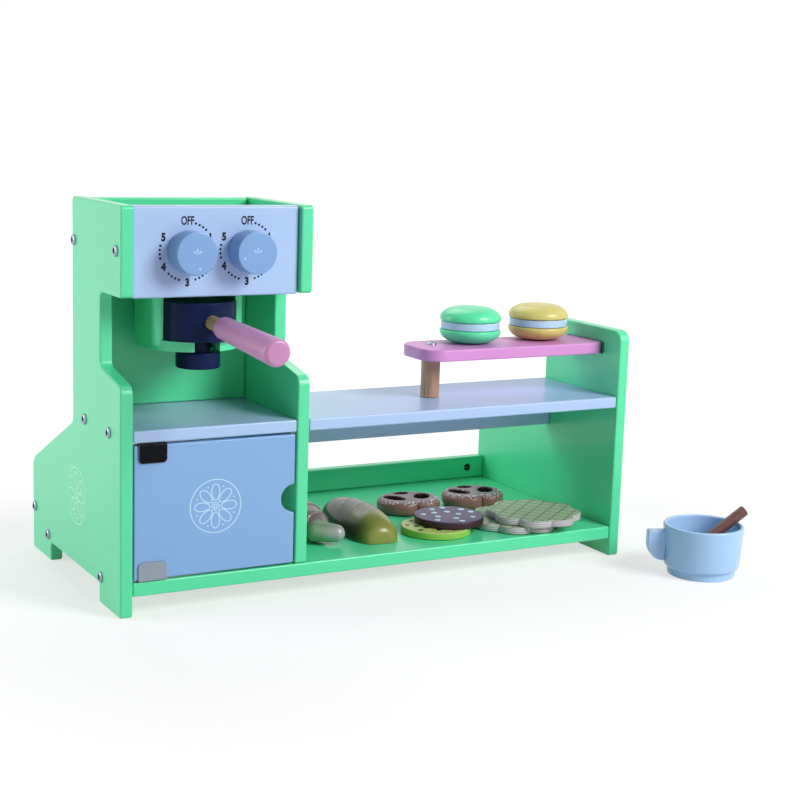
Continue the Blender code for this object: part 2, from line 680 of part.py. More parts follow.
def clip(name, door_edge, upward, pivot, carrier):
    """A sheet plate on the door's face, a flange over its end and a pin on the flange."""
    left = LEFT_FACE + DOOR_SIDE_GAP + CLIP_INSET
    right = left + CLIP_WIDTH
    flange_near = door_edge + upward * GAP
    flange_far = flange_near + upward * CLIP_SHEET
    plate_far = flange_far - upward * CLIP_HEIGHT
    low, high = sorted((flange_far, plate_far))
    corners = [(left, low), (right, low), (right, high), (left, high)]
    front = DOOR_FRONT - GAP - CLIP_SHEET
    origin = Vector(carrier["place"])
    plate = prism(fillet(corners, [CLIP_CORNER] * 4), "Y", front, CLIP_SHEET)
    plate.transform(Matrix.Translation(-origin))
    thing = add(name, plate, None, carrier, carrier["place"])
    inset = CLIP_CORNER / 2
    low, high = sorted((flange_near, flange_far))
    flange = block(
        (left + inset, front + CLIP_SHEET / 2, low),
        (right - inset, front + CLIP_WRAP, high),
    )
    flange.transform(Matrix.Translation(-origin))
    boolean(thing, add(f"{name}_flange", flange, None, carrier, carrier["place"]), "UNION")
    start, end = sorted((flange_near + upward * CLIP_SHEET / 2, flange_far + upward * PIN_LENGTH))
    pin = rod(PIN_RADIUS, start, end, 14)
    boolean(thing, add(f"{name}_pin", pin, None, carrier, (*pivot, 0)), "UNION")
    return thing


def make_door(shop, boards):
    pivot = (LEFT_FACE + DOOR_SIDE_GAP + PIVOT_INSET, DOOR_FRONT + PIVOT_BEHIND_FRONT)
    carrier = empty("door_pivot", (*pivot, 0), shop)
    low = (LEFT_FACE + DOOR_SIDE_GAP, DOOR_FRONT, BASE_TOP + DOOR_END_GAP)
    high = (RIGHT_FACE - DOOR_FREE_GAP, DOOR_FRONT + BOARD, COUNTER_BOTTOM - DOOR_END_GAP)
    mesh_data = block(low, high)
    mesh_data.transform(Matrix.Translation(-Vector(carrier["place"])))
    door = add("door", mesh_data, "door_blue_paint", carrier, carrier["place"])
    soften(door, DOOR_EDGE_ROUND)
    notch_place = (high[0], DOOR_FRONT, BASE_TOP + NOTCH_OVER_BASE)
    drill(door, carrier, notch_place, (0, 1, 0), NOTCH_RADIUS, BOARD + OVERRUN, 40)

    top = clip("top_hinge_clip", high[2], 1, pivot, carrier)
    top.data.materials.append(finish("dark_steel"))
    bottom = clip("bottom_hinge_clip", low[2], -1, pivot, carrier)
    bottom.data.materials.append(finish("bright_zinc"))
    bore = PIN_RADIUS + BORE_CLEARANCE
    drill(boards["tray"], shop, (*pivot, COUNTER_BOTTOM), (0, 0, 1), bore, PIN_LENGTH, 14)
    drill(boards["base"], shop, (*pivot, BASE_TOP), (0, 0, -1), bore, PIN_LENGTH, 14)

    stop_back = DOOR_FRONT + BOARD + GAP
    stop_top = COUNTER_BOTTOM - STOP_UNDER_TRAY
    plain_board(
        "door_stop",
        (RIGHT_FACE - GAP - STOP_WIDTH, stop_back, stop_top - STOP_HEIGHT),
        (RIGHT_FACE - GAP, stop_back + STOP_DEPTH, stop_top),
        "beech", shop,
    )


def make_knobs(shop, control):
    """Knobs that turn on screws put in from behind the control panel."""
    face = CONTROL_SETBACK - KNOB_STANDOFF
    for side, shift in (("left", -KNOB_SPACING / 2), ("right", KNOB_SPACING / 2)):
        x = MACHINE_CENTRE_X + shift
        place = (x, face, KNOB_CENTRE_Z)
        carrier = empty(f"{side}_knob_axis", place, shop)
        towards_front = (pi / 2, 0, 0)
        corners = [(0, 0), (KNOB_RADIUS, 0), (KNOB_RADIUS, KNOB_HEIGHT), (0, KNOB_HEIGHT)]
        radii = [0, KNOB_BACK_ROUND, KNOB_FRONT_ROUND, 0]
        body = turned(fillet(corners, radii, closed=False), 28)
        knob = add(f"{side}_knob", body, "knob_paint", carrier, place, towards_front)
        bore = KNOB_SCREW_RADIUS + BORE_CLEARANCE
        drill(knob, carrier, place, (0, -1, 0), bore, KNOB_SCREW_DEPTH + GAP)
        drill(control, shop, (x, CONTROL_SETBACK, KNOB_CENTRE_Z), (0, 1, 0), bore, BOARD + OVERRUN)
        head_near = -(KNOB_STANDOFF + BOARD + GAP)
        profile = [
            (0, head_near - KNOB_HEAD_HEIGHT),
            (KNOB_HEAD_RADIUS, head_near - KNOB_HEAD_HEIGHT),
            (KNOB_HEAD_RADIUS, head_near),
            (KNOB_SCREW_RADIUS, head_near),
            (KNOB_SCREW_RADIUS, KNOB_SCREW_DEPTH),
            (0, KNOB_SCREW_DEPTH),
        ]
        screw = turned(profile, 8)
        add(f"{side}_knob_screw", screw, "bright_zinc", carrier, place, towards_front)


def make_holder(shop):
    """Slotted plate with a round front, held by two cheeks glued under the mouth's ceiling."""
    left = MACHINE_CENTRE_X - HOLDER_WIDTH / 2
    right = MACHINE_CENTRE_X + HOLDER_WIDTH / 2
    back = HOLDER_BACK
    corners = [(left, back), (left, HOLDER_FRONT), (right, HOLDER_FRONT), (right, back)]
    radii = [0, HOLDER_FRONT_ROUND, HOLDER_FRONT_ROUND, 0]
    plate = board(
        "holder_plate", corners, radii, "Z", HOLDER_BOTTOM, "mint_paint", shop, HOLDER_BOARD,
    )
    half_slot = SLOT_WIDTH / 2
    slot_end = FILTER_CENTRE_Y + half_slot
    slot_mouth = HOLDER_FRONT - OVERRUN
    corners = [
        (MACHINE_CENTRE_X - half_slot, slot_mouth),
        (MACHINE_CENTRE_X + half_slot, slot_mouth),
        (MACHINE_CENTRE_X + half_slot, slot_end),
        (MACHINE_CENTRE_X - half_slot, slot_end),
    ]
    outline = fillet(corners, [0, 0, half_slot, half_slot])
    cut = prism(outline, "Z", HOLDER_BOTTOM - OVERRUN, HOLDER_BOARD + 2 * OVERRUN)
    boolean(plate, add("slot_cut", cut, None, shop))
    ceiling = block(
        (LEFT_FACE + GAP, CONTROL_SETBACK + BOARD + GAP, MOUTH_TOP),
        (RIGHT_FACE - GAP, BACK_FRONT_FACE - GAP, MOUTH_TOP + BOARD),
    )
    hanger = add("holder_hanger", ceiling, "mint_paint", shop)
    height = MOUTH_TOP + BOARD / 2 - HOLDER_TOP - GAP
    for edge, inward in ((left, 1), (right, -1)):
        inner = edge + inward * HOLDER_BOARD
        corners = [(edge, back), (edge, CHEEK_FRONT), (inner, CHEEK_FRONT), (inner, back)]
        outline = fillet(corners, [0, CHEEK_CORNER, 0, 0])
        cheek = prism(outline, "Z", HOLDER_TOP + GAP, height)
        boolean(hanger, add("cheek", cheek, None, shop), "UNION")
    soften(hanger)


def make_filter_holder(shop):
    """Body, spout, bare dowel and tapered handle that slide out together."""
    centre = (MACHINE_CENTRE_X, FILTER_CENTRE_Y, FILTER_BOTTOM)
    carrier = empty("filter_slide", centre, shop)
    corners = [(0, 0), (FILTER_RADIUS, 0), (FILTER_RADIUS, FILTER_HEIGHT), (0, FILTER_HEIGHT)]
    radii = [0, FILTER_EDGE_ROUND, FILTER_EDGE_ROUND, 0]
    body_mesh = turned(fillet(corners, radii, closed=False), 32)
    body = add("portafilter_body", body_mesh, "navy_paint", carrier, centre)

    low = SPOUT_BOTTOM - FILTER_BOTTOM
    corners = [
        (0, low),
        (SPOUT_RADIUS, low),
        (SPOUT_RADIUS, low + SPOUT_HEIGHT),
        (NECK_RADIUS, low + SPOUT_HEIGHT),
        (NECK_RADIUS, -GAP),
        (0, -GAP),
    ]
    radii = [0, SPOUT_EDGE_ROUND, SPOUT_EDGE_ROUND, 0, 0, 0]
    spout = turned(fillet(corners, radii, closed=False), 20)
    add("portafilter_spout", spout, "navy_paint", carrier, centre)

    root = (MACHINE_CENTRE_X, FILTER_FACE, FILTER_BOTTOM + HANDLE_ROOT_HEIGHT)
    turn = (pi / 2 + HANDLE_DROOP, 0, 0)
    outward = Vector((0, -cos(HANDLE_DROOP), -sin(HANDLE_DROOP)))
    bore = DOWEL_RADIUS + BORE_CLEARANCE
    dowel_end = HANDLE_NECK_LENGTH + DOWEL_IN_HANDLE
    dowel = rod(DOWEL_RADIUS, -DOWEL_IN_FILTER, dowel_end, 14)
    add("handle_dowel", dowel, "beech", carrier, root, turn)
    deep = Vector(root) - outward * (DOWEL_IN_FILTER + GAP)
    cut = rod(bore, 0, DOWEL_IN_FILTER + 2 * OVERRUN, 14)
    boolean(body, add("dowel_bore_in_filter", cut, None, carrier, deep, turn))

    start = HANDLE_NECK_LENGTH
    end = start + HANDLE_LENGTH
    corners = [(0, start), (HANDLE_ROOT_RADIUS, start), (HANDLE_END_RADIUS, end), (0, end)]
    radii = [0, HANDLE_ROOT_ROUND, HANDLE_END_ROUND, 0]
    grip = turned(fillet(corners, radii, closed=False), 20)
    handle = add("portafilter_handle", grip, "pink_paint", carrier, root, turn)
    cut = rod(bore, start - OVERRUN, dowel_end + GAP, 14)
    boolean(handle, add("dowel_bore_in_handle", cut, None, carrier, root, turn))


def make_display(shop, panels, boards):
    """Small shelf with rounded corners, on a post at one end and in the end panel at the other."""
    right = END_FACE + MORTISE_DEPTH - GAP
    back = DISPLAY_FRONT + DISPLAY_DEPTH
    corners = [
        (DISPLAY_LEFT, DISPLAY_FRONT), (right, DISPLAY_FRONT), (right, back), (DISPLAY_LEFT, back),
    ]
    bottom = DISPLAY_TOP - BOARD
    radii = [DISPLAY_CORNER, DISPLAY_END_CORNER, DISPLAY_END_CORNER, DISPLAY_CORNER]
    shelf = board("display_shelf", corners, radii, "Z", bottom, "pink_paint", shop)
    boards["display"] = shelf
    front_lip = DISPLAY_FRONT - MORTISE_MARGIN
    back_lip = back + MORTISE_MARGIN
    low = bottom - MORTISE_MARGIN
    high = DISPLAY_TOP + MORTISE_MARGIN
    corners = [(front_lip, low), (back_lip, low), (back_lip, high), (front_lip, high)]
    outline = fillet(corners, [MORTISE_CORNER] * 4)
    cut = prism(outline, "X", END_FACE - OVERRUN, MORTISE_DEPTH + OVERRUN)
    boolean(panels[2], add("shelf_mortise", cut, None, shop))

    post_bottom = COUNTER_TOP + GAP
    post = rod(POST_RADIUS, 0, bottom - GAP - post_bottom, 20)
    post = add("shelf_post", post, "beech", shop, (*POST_CENTRE, post_bottom))
    sizes = (POST_SCREW_RADIUS, POST_SCREW_LENGTH, SCREW_HEAD_RADIUS, SCREW_HEAD_HEIGHT)
    add("post_screw", screw_mesh(*sizes), "bright_zinc", shop, (*POST_CENTRE, DISPLAY_TOP))
    bore = POST_SCREW_RADIUS + BORE_CLEARANCE
    down = (0, 0, -1)
    drill(shelf, shop, (*POST_CENTRE, DISPLAY_TOP), down, bore, BOARD + OVERRUN)
    depth_in_post = POST_SCREW_LENGTH - BOARD + GAP
    drill(post, shop, (*POST_CENTRE, bottom - GAP), down, bore, depth_in_post)


def macaroon_shell():
    """A shell from its flat outer face up to the filling, widest near the filling."""
    bulge = []
    steps = 4
    for step in range(steps + 1):
        angle = pi / 2 * step / steps
        radius = MACAROON_FLAT_RADIUS + (MACAROON_RADIUS - MACAROON_FLAT_RADIUS) * sin(angle)
        bulge.append((radius, MACAROON_BULGE * (1 - cos(angle))))
    inner = MACAROON_RADIUS - MACAROON_EDGE_ROUND
    corners = [
        (MACAROON_RADIUS, MACAROON_BULGE),
        (MACAROON_RADIUS, MACAROON_SHELL),
        (inner, MACAROON_SHELL),
    ]
    edge = fillet(corners, [0, MACAROON_EDGE_ROUND, 0], closed=False)
    return turned([(0, 0)] + bulge + edge[1:-1] + [(0, MACAROON_SHELL)], 24)


def make_macaroons(shop):
    rows = (
        ("green", GREEN_CENTRE, "mint_paint"),
        ("yellow", YELLOW_CENTRE, "yellow_paint"),
    )
    for flavour, centre, paint in rows:
        base = DISPLAY_TOP + GAP
        height = 2 * MACAROON_SHELL + FILLING_HEIGHT + 2 * GAP
        carrier = empty(f"{flavour}_macaroon_lift", (*centre, base), shop)
        lower = (*centre, base)
        middle = (*centre, base + MACAROON_SHELL + GAP)
        upper = (*centre, base + height)
        add(f"{flavour}_macaroon_bottom", macaroon_shell(), paint, carrier, lower)
        filling = rod(FILLING_RADIUS, 0, FILLING_HEIGHT, 24)
        add(f"{flavour}_macaroon_filling", filling, "filling_paint", carrier, middle)
        upside_down = (pi, 0, 0)
        add(f"{flavour}_macaroon_top", macaroon_shell(), paint, carrier, upper, upside_down)


def cookie_mesh():
    inner = COOKIE_RADIUS - COOKIE_CHAMFER
    profile = [
        (0, 0),
        (inner, 0),
        (COOKIE_RADIUS, COOKIE_CHAMFER),
        (COOKIE_RADIUS, BAKE_THICKNESS - COOKIE_CHAMFER),
        (inner, BAKE_THICKNESS),
        (0, BAKE_THICKNESS),
    ]
    return turned(profile, 32)


def waffle_outline():
    """Round lobes side by side about the centre."""
    middle = WAFFLE_RADIUS - WAFFLE_LOBE_RADIUS
    half_turn = pi / WAFFLE_LOBES
    reach = asin(min(1, middle * sin(half_turn) / WAFFLE_LOBE_RADIUS))
    spread = half_turn + reach
    points = []
    steps = 6
    for lobe in range(WAFFLE_LOBES):
        facing = 2 * half_turn * lobe
        centre = (middle * cos(facing), middle * sin(facing))
        for step in range(steps):
            angle = facing + spread * (2 * step / steps - 1 + 1 / steps)
            x = centre[0] + WAFFLE_LOBE_RADIUS * cos(angle)
            y = centre[1] + WAFFLE_LOBE_RADIUS * sin(angle)
            points.append((x, y))
    return points


def make_flat_bakes(shop):
    """Cookies and waffles, each pair stacked one on the other."""
    floor = BASE_TOP + GAP
    second = floor + BAKE_THICKNESS + GAP
    waffle = prism(waffle_outline(), "Z", 0, BAKE_THICKNESS)
    round_off = Matrix.Rotation(WAFFLE_TURN, 4, "Z")
    waffle.transform(round_off)
    rows = [
        ("lower_cookie", cookie_mesh(), "cookie_yellow_paint", LOWER_COOKIE_CENTRE, floor),
        ("upper_cookie", cookie_mesh(), "chocolate_paint", UPPER_COOKIE_CENTRE, second),
        ("lower_waffle", waffle, "plywood", LOWER_WAFFLE_CENTRE, floor),
        ("upper_waffle", waffle.copy(), "plywood", UPPER_WAFFLE_CENTRE, second),
    ]
    for name, mesh_data, paint, centre, height in rows:
        add(name, mesh_data, paint, shop, (*centre, height))


def oval(centre, half_length, half_width, slant, steps):
    """An oval outline whose long axis is turned by a slant."""
    points = []
    for step in range(steps):
        angle = 2 * pi * step / steps
        along = half_length * cos(angle)
        across = half_width * sin(angle)
        x = centre[0] + along * cos(slant) - across * sin(slant)
        y = centre[1] + along * sin(slant) + across * cos(slant)
        points.append((x, y))
    return points


def pretzel_outlines():
    """The outer edge with its dip between the two loops, and the three holes."""
    outer = []
    steps = 32
    dip_share = 0.2
    dip_spread = radians(24)
    for step in range(steps):
        angle = 2 * pi * step / steps
        off_front = abs((angle - 3 * pi / 2 + pi) % (2 * pi) - pi)
        dip = 1 - dip_share * (1 - min(1, off_front / dip_spread)) ** 1.5
        outer.append((PRETZEL_HALF_WIDTH * cos(angle) * dip, PRETZEL_HALF_DEPTH * sin(angle) * dip))
    # x, y, half length and half width as shares of the half width, then the slant
    hole_shares = (
        (-0.46, 0.03, 0.33, 0.20, radians(-54)),
        (0.46, 0.03, 0.33, 0.20, radians(54)),
        (0.0, 0.56, 0.21, 0.14, 0.0),
    )
    holes = []
    for x_share, y_share, long_share, wide_share, slant in hole_shares:
        centre = (PRETZEL_HALF_WIDTH * x_share, PRETZEL_HALF_WIDTH * y_share)
        half_length = PRETZEL_HALF_WIDTH * long_share
        half_width = PRETZEL_HALF_WIDTH * wide_share
        holes.append((centre, oval(centre, half_length, half_width, slant, 10)))
    return outer, holes


def rounded_levels(height, rounding, outward):
    """Heights and insets of the rings that round a flat piece's lower and upper edges."""
    steps = 2
    rising = []
    for step in range(steps + 1):
        angle = pi / 2 * step / steps
        rising.append((rounding * (1 - cos(angle)), outward * rounding * (1 - sin(angle))))
    return rising + [(height - level, inset) for level, inset in reversed(rising)]


def stack(outline, centre, levels):
    """A closed mesh of rings, each drawn in towards a centre by its level's inset."""
    form = bmesh.new()
    middle = Vector(centre)
    rings = []
    for height, inset in levels:
        ring = []
        for point in outline:
            arm = Vector(point) - middle
            spot = middle + arm * (1 - inset / arm.length)
            ring.append(form.verts.new((spot.x, spot.y, height)))
        rings.append(ring)
    join_rings(form, rings)
    form.faces.new(rings[0])
    form.faces.new(rings[-1])
    mesh_data = as_mesh(form)
    smooth(mesh_data)
    return mesh_data


def make_pretzels(shop):
    outer, holes = pretzel_outlines()
    turn = (0, 0, PRETZEL_TURN)
    levels = rounded_levels(PRETZEL_THICKNESS, PRETZEL_ROUND, 1)
    hole_levels = rounded_levels(PRETZEL_THICKNESS, PRETZEL_HOLE_ROUND, -1)
    below = (-OVERRUN, hole_levels[0][1])
    above = (PRETZEL_THICKNESS + OVERRUN, hole_levels[-1][1])
    for name, centre in (("left_pretzel", LEFT_PRETZEL_CENTRE), ("right_pretzel", RIGHT_PRETZEL_CENTRE)):
        place = (*centre, BASE_TOP + GAP)
        pretzel = add(name, stack(outer, (0, 0), levels), "pretzel_paint", shop, place, turn)
        for number, (middle, hole) in enumerate(holes, 1):
            cut = stack(hole, middle, [below] + hole_levels + [above])
            boolean(pretzel, add(f"{name}_hole_{number}", cut, None, shop, place, turn))


def make_loaf(shop):
    """A long loaf: arched sections on a flat underside, drawn in at both ends."""
    form = bmesh.new()
    rings = [[form.verts.new((0, -LOAF_HALF_LENGTH, 0))]]
    half_shares = (0.03, 0.08, 0.16, 0.26, 0.38)
    arch_points = 8
    for share in (*half_shares, 0.5, *(1 - near for near in reversed(half_shares))):
        angle = pi * share
        along = -LOAF_HALF_LENGTH * cos(angle)
        size = sin(angle) ** 0.5
        ring = []
        for point in range(arch_points + 1):
            round_angle = pi * point / arch_points
            x = LOAF_HALF_WIDTH * size * cos(round_angle)
            z = LOAF_HEIGHT * size * sin(round_angle) ** 0.9
            ring.append(form.verts.new((x, along, z)))
        rings.append(ring)
    rings.append([form.verts.new((0, LOAF_HALF_LENGTH, 0))])
    join_rings(form, rings)
    mesh_data = as_mesh(form)
    smooth(mesh_data)
    turn = (0, 0, LOAF_TURN)
    add("bread_loaf", mesh_data, "crust_paint", shop, (*LOAF_CENTRE, BASE_TOP + GAP), turn)


def roll_mesh(half_length, radius):
    """A plump roll about its own Z."""
    half_shares = (0.06, 0.17, 0.32)
    fullness = 0.7
    profile = [(0, -half_length)]
    for share in (*half_shares, 0.5, *(1 - near for near in reversed(half_shares))):
        angle = pi * (share - 0.5)
        profile.append((radius * cos(angle) ** fullness, half_length * sin(angle)))
    return turned(profile + [(0, half_length)], 14)


def make_croissant(shop):
    """Five rolls joined end to end; both horns lean to the right."""
    base = BASE_TOP + GAP
    half_length, radius = CROISSANT_MIDDLE
    place = (*CROISSANT_CENTRE, base)
    middle = roll_mesh(half_length, radius)
    middle.transform(Matrix.Translation((0, 0, radius)) @ Matrix.Rotation(pi / 2, 4, "X"))
    croissant = add("croissant", middle, "croissant_paint", shop, place)
    parts = (
        ("side", CROISSANT_SIDE, CROISSANT_SIDE_PLACE, CROISSANT_SIDE_SLANT, 0),
        ("horn", CROISSANT_HORN, CROISSANT_HORN_PLACE, CROISSANT_HORN_SLANT, CROISSANT_HORN_LIFT),
    )
    for end, direction in (("front", -1), ("rear", 1)):
        for name, size, offset, slant, lift in parts:
            half_length, radius = size
            spot = (
                CROISSANT_CENTRE[0] + offset[0],
                CROISSANT_CENTRE[1] + direction * offset[1],
                base + lift + radius,
            )
            roll = roll_mesh(half_length, radius)
            heading = Matrix.Rotation(-direction * slant, 4, "Z")
            roll.transform(heading @ Matrix.Rotation(pi / 2, 4, "X"))
            boolean(croissant, add(f"croissant_{end}_{name}", roll, None, shop, spot), "UNION")


def make_cup(shop):
    """Turned cup with a foot ring and a solid quarter-round handle, and its stick."""
    place = (*CUP_CENTRE, 0)
    carrier = empty("cup_lift", place, shop)
    inner_rim = CUP_RIM_RADIUS - CUP_WALL
    inner_low = CUP_LOW_RADIUS - CUP_WALL
    corners = [
        (0, 0),
        (CUP_FOOT_RADIUS, 0),
        (CUP_FOOT_RADIUS, CUP_FOOT_HEIGHT),
        (CUP_LOW_RADIUS, CUP_FOOT_HEIGHT),
        (CUP_RIM_RADIUS, CUP_HEIGHT),
        (inner_rim, CUP_HEIGHT),
        (inner_low, CUP_FLOOR),
        (0, CUP_FLOOR),
    ]
    step = CUP_STEP_ROUND
    radii = [0, CUP_RIM_ROUND, 0, step, CUP_RIM_ROUND, CUP_RIM_ROUND, step, 0]
    cup_mesh = turned(fillet(corners, radii, closed=False), 28)
    cup = add("cup", cup_mesh, "cup_paint", carrier, place)

    root = (inner_rim + CUP_RIM_RADIUS) / 2
    fall = CUP_HANDLE_TOP - CUP_HANDLE_LOW
    corners = [
        (root, CUP_HANDLE_TOP),
        (root, CUP_HANDLE_LOW),
        (CUP_HANDLE_REACH, CUP_HANDLE_LOW),
        (CUP_HANDLE_REACH, CUP_HANDLE_TOP),
    ]
    round_off = min(CUP_HANDLE_REACH - root, fall) * 0.92
    outline = fillet(corners, [0, 0, round_off, CUP_HANDLE_ROUND])
    thickness = CUP_HANDLE_THICKNESS
    ear_mesh = prism(outline, "Y", -thickness / 2, thickness)
    ear = add("cup_handle", ear_mesh, None, carrier, place, (0, 0, CUP_HANDLE_ANGLE))
    soften(ear, CUP_HANDLE_ROUND)
    boolean(cup, ear, "UNION")

    across = Vector((cos(STICK_HEADING), sin(STICK_HEADING), 0))
    direction = across * cos(STICK_RISE) + Vector((0, 0, sin(STICK_RISE)))
    rest_height = CUP_HEIGHT + (STICK_RADIUS + GAP) * cos(STICK_RISE)
    rest = Vector(place) + across * STICK_REACH + Vector((0, 0, rest_height))
    foot_height = CUP_FLOOR + GAP + STICK_RADIUS * cos(STICK_RISE)
    foot = rest - direction * (rest_height - foot_height) / sin(STICK_RISE)
    turn = direction.to_track_quat("Z", "Y").to_euler()
    add("stir_stick", rod(STICK_RADIUS, 0, STICK_LENGTH, 12), "brown_stain", carrier, foot, turn)
    reach = foot.x + direction.x * STICK_LENGTH + STICK_RADIUS * sqrt(1 - direction.x ** 2)
    return max(reach, place[0] + CUP_RIM_RADIUS)


def main():
    clear_scene()
    shop = empty("shop_frame", (0, 0, 0))
    panels = make_panels(shop)
    boards = make_boards(shop)
    make_display(shop, panels, boards)
    make_bolts(shop, panels, boards)
    make_rail_nut(shop, boards["rail"])
    make_door(shop, boards)
    make_knobs(shop, boards["control"])
    make_holder(shop)
    make_filter_holder(shop)
    make_macaroons(shop)
    make_flat_bakes(shop)
    make_pretzels(shop)
    make_loaf(shop)
    make_croissant(shop)
    rightmost = make_cup(shop)
    # The origin is under the middle of everything, cup and stick included
    leftmost = -BOLT_HEAD_HEIGHT
    nearest = CUP_CENTRE[1] - CUP_RIM_RADIUS
    shop.location = (-(leftmost + rightmost) / 2, -(nearest + SHOP_DEPTH) / 2, 0)
    print(f"frame offset {shop.location.x:.6f} {shop.location.y:.6f}")


main()
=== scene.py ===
import random
from math import acos, ceil, cos, pi, radians, sin, tan

import bmesh
import bpy
from mathutils import Matrix, Vector


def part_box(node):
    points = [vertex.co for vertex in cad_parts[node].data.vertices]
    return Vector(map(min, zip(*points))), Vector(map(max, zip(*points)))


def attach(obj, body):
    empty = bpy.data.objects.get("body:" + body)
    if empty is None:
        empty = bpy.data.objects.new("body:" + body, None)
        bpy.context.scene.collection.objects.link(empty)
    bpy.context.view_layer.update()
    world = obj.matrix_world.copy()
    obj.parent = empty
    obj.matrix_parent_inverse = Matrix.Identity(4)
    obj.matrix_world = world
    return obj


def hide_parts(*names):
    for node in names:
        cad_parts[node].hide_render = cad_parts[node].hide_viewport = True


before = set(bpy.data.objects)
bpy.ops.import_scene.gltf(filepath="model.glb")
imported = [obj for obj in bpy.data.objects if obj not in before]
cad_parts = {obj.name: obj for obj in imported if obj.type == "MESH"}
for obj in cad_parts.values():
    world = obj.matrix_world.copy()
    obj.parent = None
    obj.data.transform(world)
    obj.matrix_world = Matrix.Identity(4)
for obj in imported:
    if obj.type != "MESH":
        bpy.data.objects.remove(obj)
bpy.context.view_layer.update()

mm = 0.001
seedStart = 7

# The shop's own zero: outer face of the left panel, front plane, floor
shopZero = Vector((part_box("left_panel")[0].x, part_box("left_panel")[0].y, 0))


def at(x, y, z):
    # A place in the shop, given in millimetres, in the frame's metres
    return shopZero + Vector((x, y, z)) * mm


# Shader maths

class Value:
    # A socket that adds Math nodes when it is used in an expression
    def __init__(self, look, socket):
        self.look = look
        self.socket = socket

    def maths(self, operation, *others):
        node = self.look.tree.nodes.new("ShaderNodeMath")
        node.operation = operation
        for place, item in enumerate((self, *others)):
            self.look.feed(node.inputs[place], item)
        return Value(self.look, node.outputs[0])

    def __add__(self, other):
        return self.maths("ADD", other)

    def __sub__(self, other):
        return self.maths("SUBTRACT", other)

    def __mul__(self, other):
        return self.maths("MULTIPLY", other)

    def __truediv__(self, other):
        return self.maths("DIVIDE", other)

    def __rsub__(self, other):
        return (self * -1) + other

    __radd__ = __add__
    __rmul__ = __mul__

    def below(self, limit, soft):
        # 1 where the value is under the limit, with a soft edge
        return self.look.ramp01(self, limit + soft, limit - soft)

    def above(self, limit, soft):
        return self.look.ramp01(self, limit - soft, limit + soft)

    def size(self):
        return self.maths("ABSOLUTE")

    def within(self):
        return self.maths("MINIMUM", 1.0).maths("MAXIMUM", 0.0)


